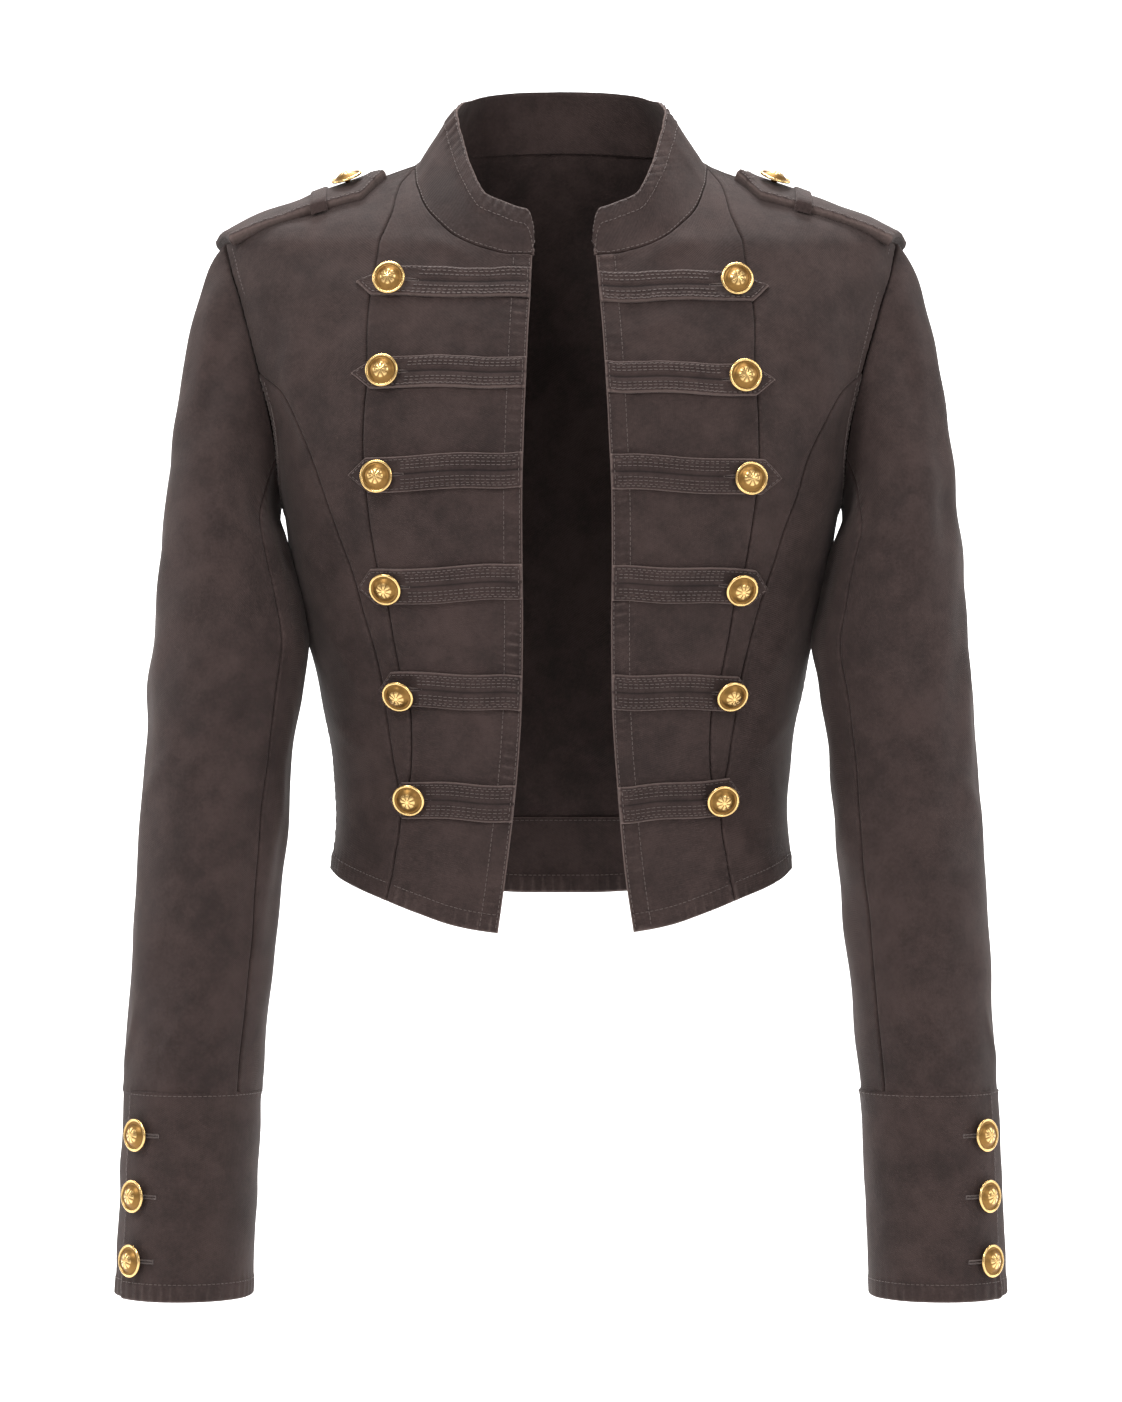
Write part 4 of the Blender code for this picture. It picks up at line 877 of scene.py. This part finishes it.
def make_button(node, seat, normal, axis, brass):
    """A turned shank button: rolled rim, sunk ring and a dome with a flower of eight petals and a boss."""
    slope = np.sqrt(max(0.0, 1 - float(normal @ axis) ** 2))
    foot_height = SEWN_GAP + SHANK_RADIUS * slope
    needed = (BUTTON_RADIUS * slope + SHELL_CLEARANCE - foot_height) / np.sqrt(1 - slope**2)
    neck = max(needed, SHORTEST_SHANK)
    shank = [(SHANK_RADIUS, 0), (SHANK_RADIUS * 0.8, neck / 2)]
    profile = np.concatenate([shank, BUTTON_SHELL * MM + (0, neck)])
    angle = np.linspace(0, 2 * np.pi, BUTTON_STEPS, endpoint=False)
    radius, height = profile[:, :1] + 0 * angle, profile[:, 1:] + 0 * angle
    on_dome = smooth_step(6.2 * MM, 5.2 * MM, radius) * (profile[:, 1:] > neck + 2 * MM)
    petals = np.abs(np.cos(angle * PETALS / 2)) ** 0.6
    flower = petals * smooth_step(0.6 * MM, 1.6 * MM, radius) * smooth_step(4.9 * MM, 3.9 * MM, radius)
    boss = smooth_step(1.4 * MM, 0.9 * MM, radius)
    height = height + on_dome * (0.26 * flower + 0.30 * boss) * MM
    beads = (np.abs(radius - BEAD_RING * MM) < 0.3 * MM) * (0.5 + 0.5 * np.cos(angle * BEADS)) * 0.12 * MM
    height = height + beads
    side_way = unit(np.cross(axis, (1.0, 0, 0) if abs(axis[0]) < 0.7 else (0, 0, 1.0)))
    up_way = np.cross(axis, side_way)
    circle = np.cos(angle)[:, None] * side_way + np.sin(angle)[:, None] * up_way
    foot = seat + normal * foot_height
    rings = foot + axis * height[..., None] + circle * radius[..., None]
    rows, columns = rings.shape[:2]
    ends = np.stack([foot, foot + axis * height[-1].mean()])
    index = np.arange(rows * columns).reshape(rows, columns)
    onward = np.roll(index, -1, 1)
    quads = np.stack([index[:-1], onward[:-1], onward[1:], index[1:]], -1).reshape(-1, 4)
    caps = np.concatenate([
        np.stack([onward[0], index[0], 0 * index[0] + rows * columns], -1),
        np.stack([index[-1], onward[-1], 0 * index[0] + rows * columns + 1], -1)])
    right_way = np.cross(side_way, up_way) @ axis > 0
    faces = [quads, caps] if right_way else [quads[:, ::-1], caps[:, ::-1]]
    hollow = on_dome * (1 - np.maximum(flower, boss)) * 0.8
    hollow = hollow + smooth_step(8.1 * MM, 7.8 * MM, radius) * (1 - on_dome)
    hollow = hollow * (profile[:, 1:] > neck + 0.6 * MM)
    fields = [("hollow", np.concatenate([hollow.ravel(), [0.5, 0.0]]))]
    button = add_mesh(f"{node}_metal", np.concatenate([rings.reshape(-1, 3), ends]), faces, brass, fields)
    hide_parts(node)


def make_buttons(brass):
    """The front buttons face as the table says, and the cuff buttons lie flat on the cuff."""
    for side, label in LABELS.items():
        for number, (row, (out, up)) in enumerate(zip(tab_tables[side], BUTTON_FACES), 1):
            turn, level = row[4:]
            normal = facing(body, turn, level) * (side, 1, 1)
            seat = body(turn, level) * (side, 1, 1) + normal * (TAB_LIFT + TAB_WALL)
            out, up = np.radians(out), np.radians(up)
            axis = np.array([side * np.sin(out) * np.cos(up), -np.cos(out) * np.cos(up), np.sin(up)])
            make_button(f"front_button_{label}_{number}", seat, normal, axis, brass)
        for number, level in enumerate(CUFF_BUTTON_LEVELS, 1):
            point, normal = (place * (side, 1, 1) for place in sleeve_place(CUFF_BUTTON_TURN, level))
            make_button(f"cuff_button_{label}_{number}", point + normal * CUFF_PROUD, normal, normal, brass)


def make_stitches(group, thread, pitch=2.9 * MM, length=2.3 * MM, thick=0.26 * MM):
    """All stitches of one group as one mesh. Each is a short bowed strand of four sides along its line."""
    centres, tangents, normals = [], [], []
    for points, facing_out in stitch_lines[group]:
        steps = np.linalg.norm(np.diff(points, axis=0), axis=1)
        place = np.concatenate([[0], np.cumsum(steps)])
        count = max(1, int(place[-1] / pitch))
        at = (np.arange(count) + 0.5) * place[-1] / count

        def read(where, values):
            return np.stack([np.interp(where, place, values[:, k]) for k in range(3)], -1)

        centres.append(read(at, points))
        ahead, behind = (read(np.clip(at + shift, 0, place[-1]), points) for shift in (0.3 * MM, -0.3 * MM))
        tangents.append(unit(ahead - behind) * min(1.0, place[-1] / length))
        normals.append(unit(read(at, facing_out)))
    centres, tangents, normals = (np.concatenate(x)[:, None] for x in (centres, tangents, normals))
    sides = unit(np.cross(tangents, normals))
    # Rings of a stitch: (place along it, thickness, height above the cloth)
    stations = np.array([(-0.5, 0.35, -0.7), (-0.3, 1.0, 0.35), (0.3, 1.0, 0.35), (0.5, 0.35, -0.7)])
    corner = np.radians([45, 135, 225, 315])
    along_it = np.repeat(stations[:, 0] * length, 4)[:, None]
    aside = (stations[:, 1:2] * np.cos(corner) * thick).ravel()[:, None]
    above = (stations[:, 1:2] * np.sin(corner) * thick + stations[:, 2:] * thick).ravel()[:, None]
    points = centres + tangents * along_it + sides * aside + normals * above
    ring, onward = np.arange(4), np.array([1, 2, 3, 0])
    quads = [np.stack([ring, onward, onward + 4, ring + 4], -1) + 4 * k for k in range(3)]
    quads = np.concatenate(quads + [np.array([[3, 2, 1, 0], [12, 13, 14, 15]])])
    faces = (np.arange(len(points))[:, None, None] * 16 + quads[None]).reshape(-1, 4)
    stitches = add_mesh(f"{group}_stitches", points.reshape(-1, 3), [faces], thread)


class Wire:
    """A socket's output in an expression: arithmetic on it adds Math nodes."""

    def __init__(self, finish, socket):
        self.finish, self.socket = finish, socket

    def math(self, operation, first, second):
        return self.finish.node("ShaderNodeMath", {"operation": operation}, {0: first, 1: second})

    def __add__(self, other):
        return self.math("ADD", self, other)

    def __mul__(self, other):
        return self.math("MULTIPLY", self, other)

    __radd__ = __add__
    __rmul__ = __mul__


class Finish:
    """One material's nodes."""

    def __init__(self, name):
        self.material = bpy.data.materials.new(name)
        self.material.use_nodes = True
        self.tree = self.material.node_tree
        self.shader = self.tree.nodes["Principled BSDF"]

    def node(self, kind, settings=None, inputs=None, output=0):
        """A new node of this type, with its settings and inputs, as the wire of one of its outputs."""
        made = self.tree.nodes.new(kind)
        for key, value in (settings or {}).items():
            setattr(made, key, value)
        for key, value in (inputs or {}).items():
            self.put(made.inputs[key], value)
        return Wire(self, made.outputs[output])

    def put(self, socket, value):
        if isinstance(value, Wire):
            self.tree.links.new(value.socket, socket)
        else:
            socket.default_value = value

    def set(self, **values):
        for key, value in values.items():
            self.put(self.shader.inputs[key.replace("_", " ")], value)

    def mix(self, share, first, second):
        return self.node("ShaderNodeMix", {"data_type": "RGBA"}, {0: share, 6: first, 7: second}, 2)

    def noise(self, place, scale, detail=2.0, rough=0.5):
        return self.node("ShaderNodeTexNoise", {}, {"Vector": place, "Scale": scale, "Detail": detail,
                                                    "Roughness": rough})

    def ramp(self, value, low, high):
        """0 at the low value, 1 at the high one."""
        return self.node("ShaderNodeMapRange", {"interpolation_type": "SMOOTHSTEP"},
                         {"Value": value, "From Min": low, "From Max": high})


def twill():
    """Garment-dyed cotton twill: fine slanting ribs, a thread grain, cloudy dye, paler worn edges with
    painted highlight, and painted shade in seams and dimples.
    """
    f = Finish("brown_twill")
    flat = f.node("ShaderNodeUVMap", {"uv_map": "cloth"})
    place = f.node("ShaderNodeTexCoord", output=3)
    wear_and_painted_light = f.node("ShaderNodeAttribute", {"attribute_name": "wear_and_painted_light"}, output=2)
    slanted = f.node("ShaderNodeMapping", {}, {"Vector": flat, "Rotation": (0, 0, np.radians(27))})
    ribs = f.node("ShaderNodeTexWave", {"bands_direction": "Y"},
                  {"Vector": slanted, "Scale": 330.0, "Distortion": 0.6, "Detail": 1.0, "Detail Scale": 2.0})
    grain = f.noise(place, 1500.0, 2.0, 0.6)
    specks = f.noise(place, 520.0, 3.0, 0.65)
    clouds = f.noise(place, 26.0, 4.0, 0.62)
    blotches = f.noise(place, 85.0, 3.0, 0.6)
    tone = clouds * 0.9 + blotches * 0.55 + specks * 0.5 + grain * 0.25
    base = f.mix(f.ramp(tone, 0.80, 1.42), (0.0185, 0.0110, 0.0100, 1), (0.0420, 0.0265, 0.0240, 1))
    # Paler towards worn edges and painted highlights on the puckers' crests.
    rubbed_and_painted_light = f.mix(f.ramp(wear_and_painted_light + specks * 0.35, 0.22, 1.15), base, (0.118, 0.084, 0.076, 1))
    # Painted shade: nearly black where the field falls below zero, in seam grooves, stitch dimples and the
    # tabs' channels.
    with_painted_shade = f.mix(f.ramp(wear_and_painted_light, -0.05, -0.9), rubbed_and_painted_light, (0.007, 0.004, 0.004, 1))
    f.set(Base_Color=with_painted_shade, Roughness=f.ramp(clouds, 0.2, 0.9) * 0.12 + 0.76)
    f.set(Sheen_Weight=0.10, Sheen_Roughness=0.45, Sheen_Tint=(0.75, 0.66, 0.62, 1), Specular_IOR_Level=0.20)
    height = ribs * 0.45 + grain * 0.35 + specks * 0.5
    f.set(Normal=f.node("ShaderNodeBump", {}, {"Strength": 0.8, "Distance": 0.00030, "Height": height}))
    return f.material


def sewing_thread():
    """Dyed thread, a shade lighter than the cloth, with a faint twist."""
    f = Finish("brown_thread")
    place = f.node("ShaderNodeTexCoord", output=3)
    shade = f.noise(place, 300.0, 2.0)
    f.set(Base_Color=f.mix(shade, (0.048, 0.032, 0.029, 1), (0.120, 0.088, 0.079, 1)),
          Roughness=shade * 0.2 + 0.6)
    f.set(Sheen_Weight=0.2, Specular_IOR_Level=0.35)
    return f.material


def antique_brass():
    """Gold-plated brass, polished on the high parts, browner in the hollows, with a fine hammered grain."""
    f = Finish("antique_gold")
    place = f.node("ShaderNodeTexCoord", output=3)
    hollow = f.node("ShaderNodeAttribute", {"attribute_name": "hollow"}, output=2)
    grain = f.noise(place, 1400.0, 3.0, 0.6)
    patina = f.noise(place, 380.0, 3.0, 0.6)
    dark = f.ramp(hollow + patina * 0.5, 0.2, 1.0)
    f.set(Base_Color=f.mix(dark, (0.78, 0.52, 0.215, 1), (0.22, 0.120, 0.036, 1)),
          Roughness=dark * 0.22 + grain * 0.10 + 0.17, Metallic=1.0)
    height = grain * 0.6 + patina * 0.4
    f.set(Normal=f.node("ShaderNodeBump", {}, {"Strength": 0.35, "Distance": 0.0003, "Height": height}))
    return f.material


def plain_studio():
    """A pale floor that sweeps up behind the jacket, and soft lights."""
    f = Finish("studio_paper")
    place = f.node("ShaderNodeTexCoord", output=3)
    f.set(Base_Color=f.mix(f.noise(place, 2.0), (0.90, 0.90, 0.90, 1), (0.93, 0.93, 0.93, 1)), Roughness=0.9)
    floor_level, half_width, front, back, sweep_radius, top = -0.85, 9.0, -6.0, 4.5, 1.5, 6.0
    sweep = np.radians(np.linspace(0, 90, 13))
    depth = np.concatenate([[front], back - sweep_radius + sweep_radius * np.sin(sweep), [back]])
    height = np.concatenate([[0.0], sweep_radius * (1 - np.cos(sweep)), [top]]) + floor_level
    x, y = np.meshgrid([-half_width, half_width], depth)
    points = np.stack([x, y, np.broadcast_to(height[:, None], x.shape)], -1).reshape(-1, 3)
    index = np.arange(len(points)).reshape(-1, 2)
    faces = np.stack([index[:-1, 0], index[:-1, 1], index[1:, 1], index[1:, 0]], -1)
    mesh = bpy.data.meshes.new("studio_floor")
    mesh.from_pydata(points.tolist(), [], faces.tolist())
    mesh.shade_smooth()
    mesh.materials.append(f.material)
    place_object("studio_floor", mesh)
    # Lights: (name, place, aim, size, watts)
    lights = (
        ("key", (-1.4, -2.2, 1.9), (0, 0, -0.25), 0.9, 64), ("fill", (1.9, -2.4, 0.9), (0, 0, -0.3), 1.2, 30),
        ("top", (0.0, -0.3, 2.2), (0, 0, 0), 1.2, 34), ("back", (0.0, 1.3, 2.4), (0, 3.6, -0.6), 1.6, 240),
        ("left", (-2.4, 0.3, 0.4), (0, 0, -0.3), 1.2, 20), ("right", (2.4, 0.3, 0.4), (0, 0, -0.3), 1.2, 18))
    for name, where, aim, size, power in lights:
        light = bpy.data.lights.new(name, "AREA")
        light.size = size
        light.energy = power
        lamp = place_object(name, light)
        lamp.location = where
        direction = Vector(aim) - Vector(where)
        lamp.rotation_euler = direction.to_track_quat("-Z", "Y").to_euler()
    world = bpy.data.worlds.new("studio_air")
    world.use_nodes = True
    world.node_tree.nodes["Background"].inputs["Color"].default_value = (1.0, 0.995, 0.99, 1)
    world.node_tree.nodes["Background"].inputs["Strength"].default_value = 0.50
    bpy.context.scene.world = world
    bpy.context.scene.view_settings.view_transform = "Standard"


def photo_camera():
    """The photograph's camera: level, three metres away, on the jacket's middle."""
    image_height, focal_pixels, sensor = 1402, 5115, 36.0
    camera = place_object("camera", bpy.data.cameras.new("camera"))
    camera.data.sensor_fit = "VERTICAL"
    camera.data.sensor_height = sensor
    camera.data.lens = focal_pixels / image_height * sensor
    camera.location = (0, -3.0, -0.3155)
    camera.rotation_euler = (np.pi / 2, 0, 0)
    bpy.context.scene.camera = camera


cloth, brass, thread = twill(), antique_brass(), sewing_thread()
make_body(cloth)
make_hem_facing(cloth)
make_collar(cloth)
make_sleeves(cloth)
make_cuffs(cloth)
make_tabs(cloth)
make_epaulettes(cloth, brass)
make_buttons(brass)
for group in stitch_lines:
    make_stitches(group, thread)
plain_studio()
photo_camera()
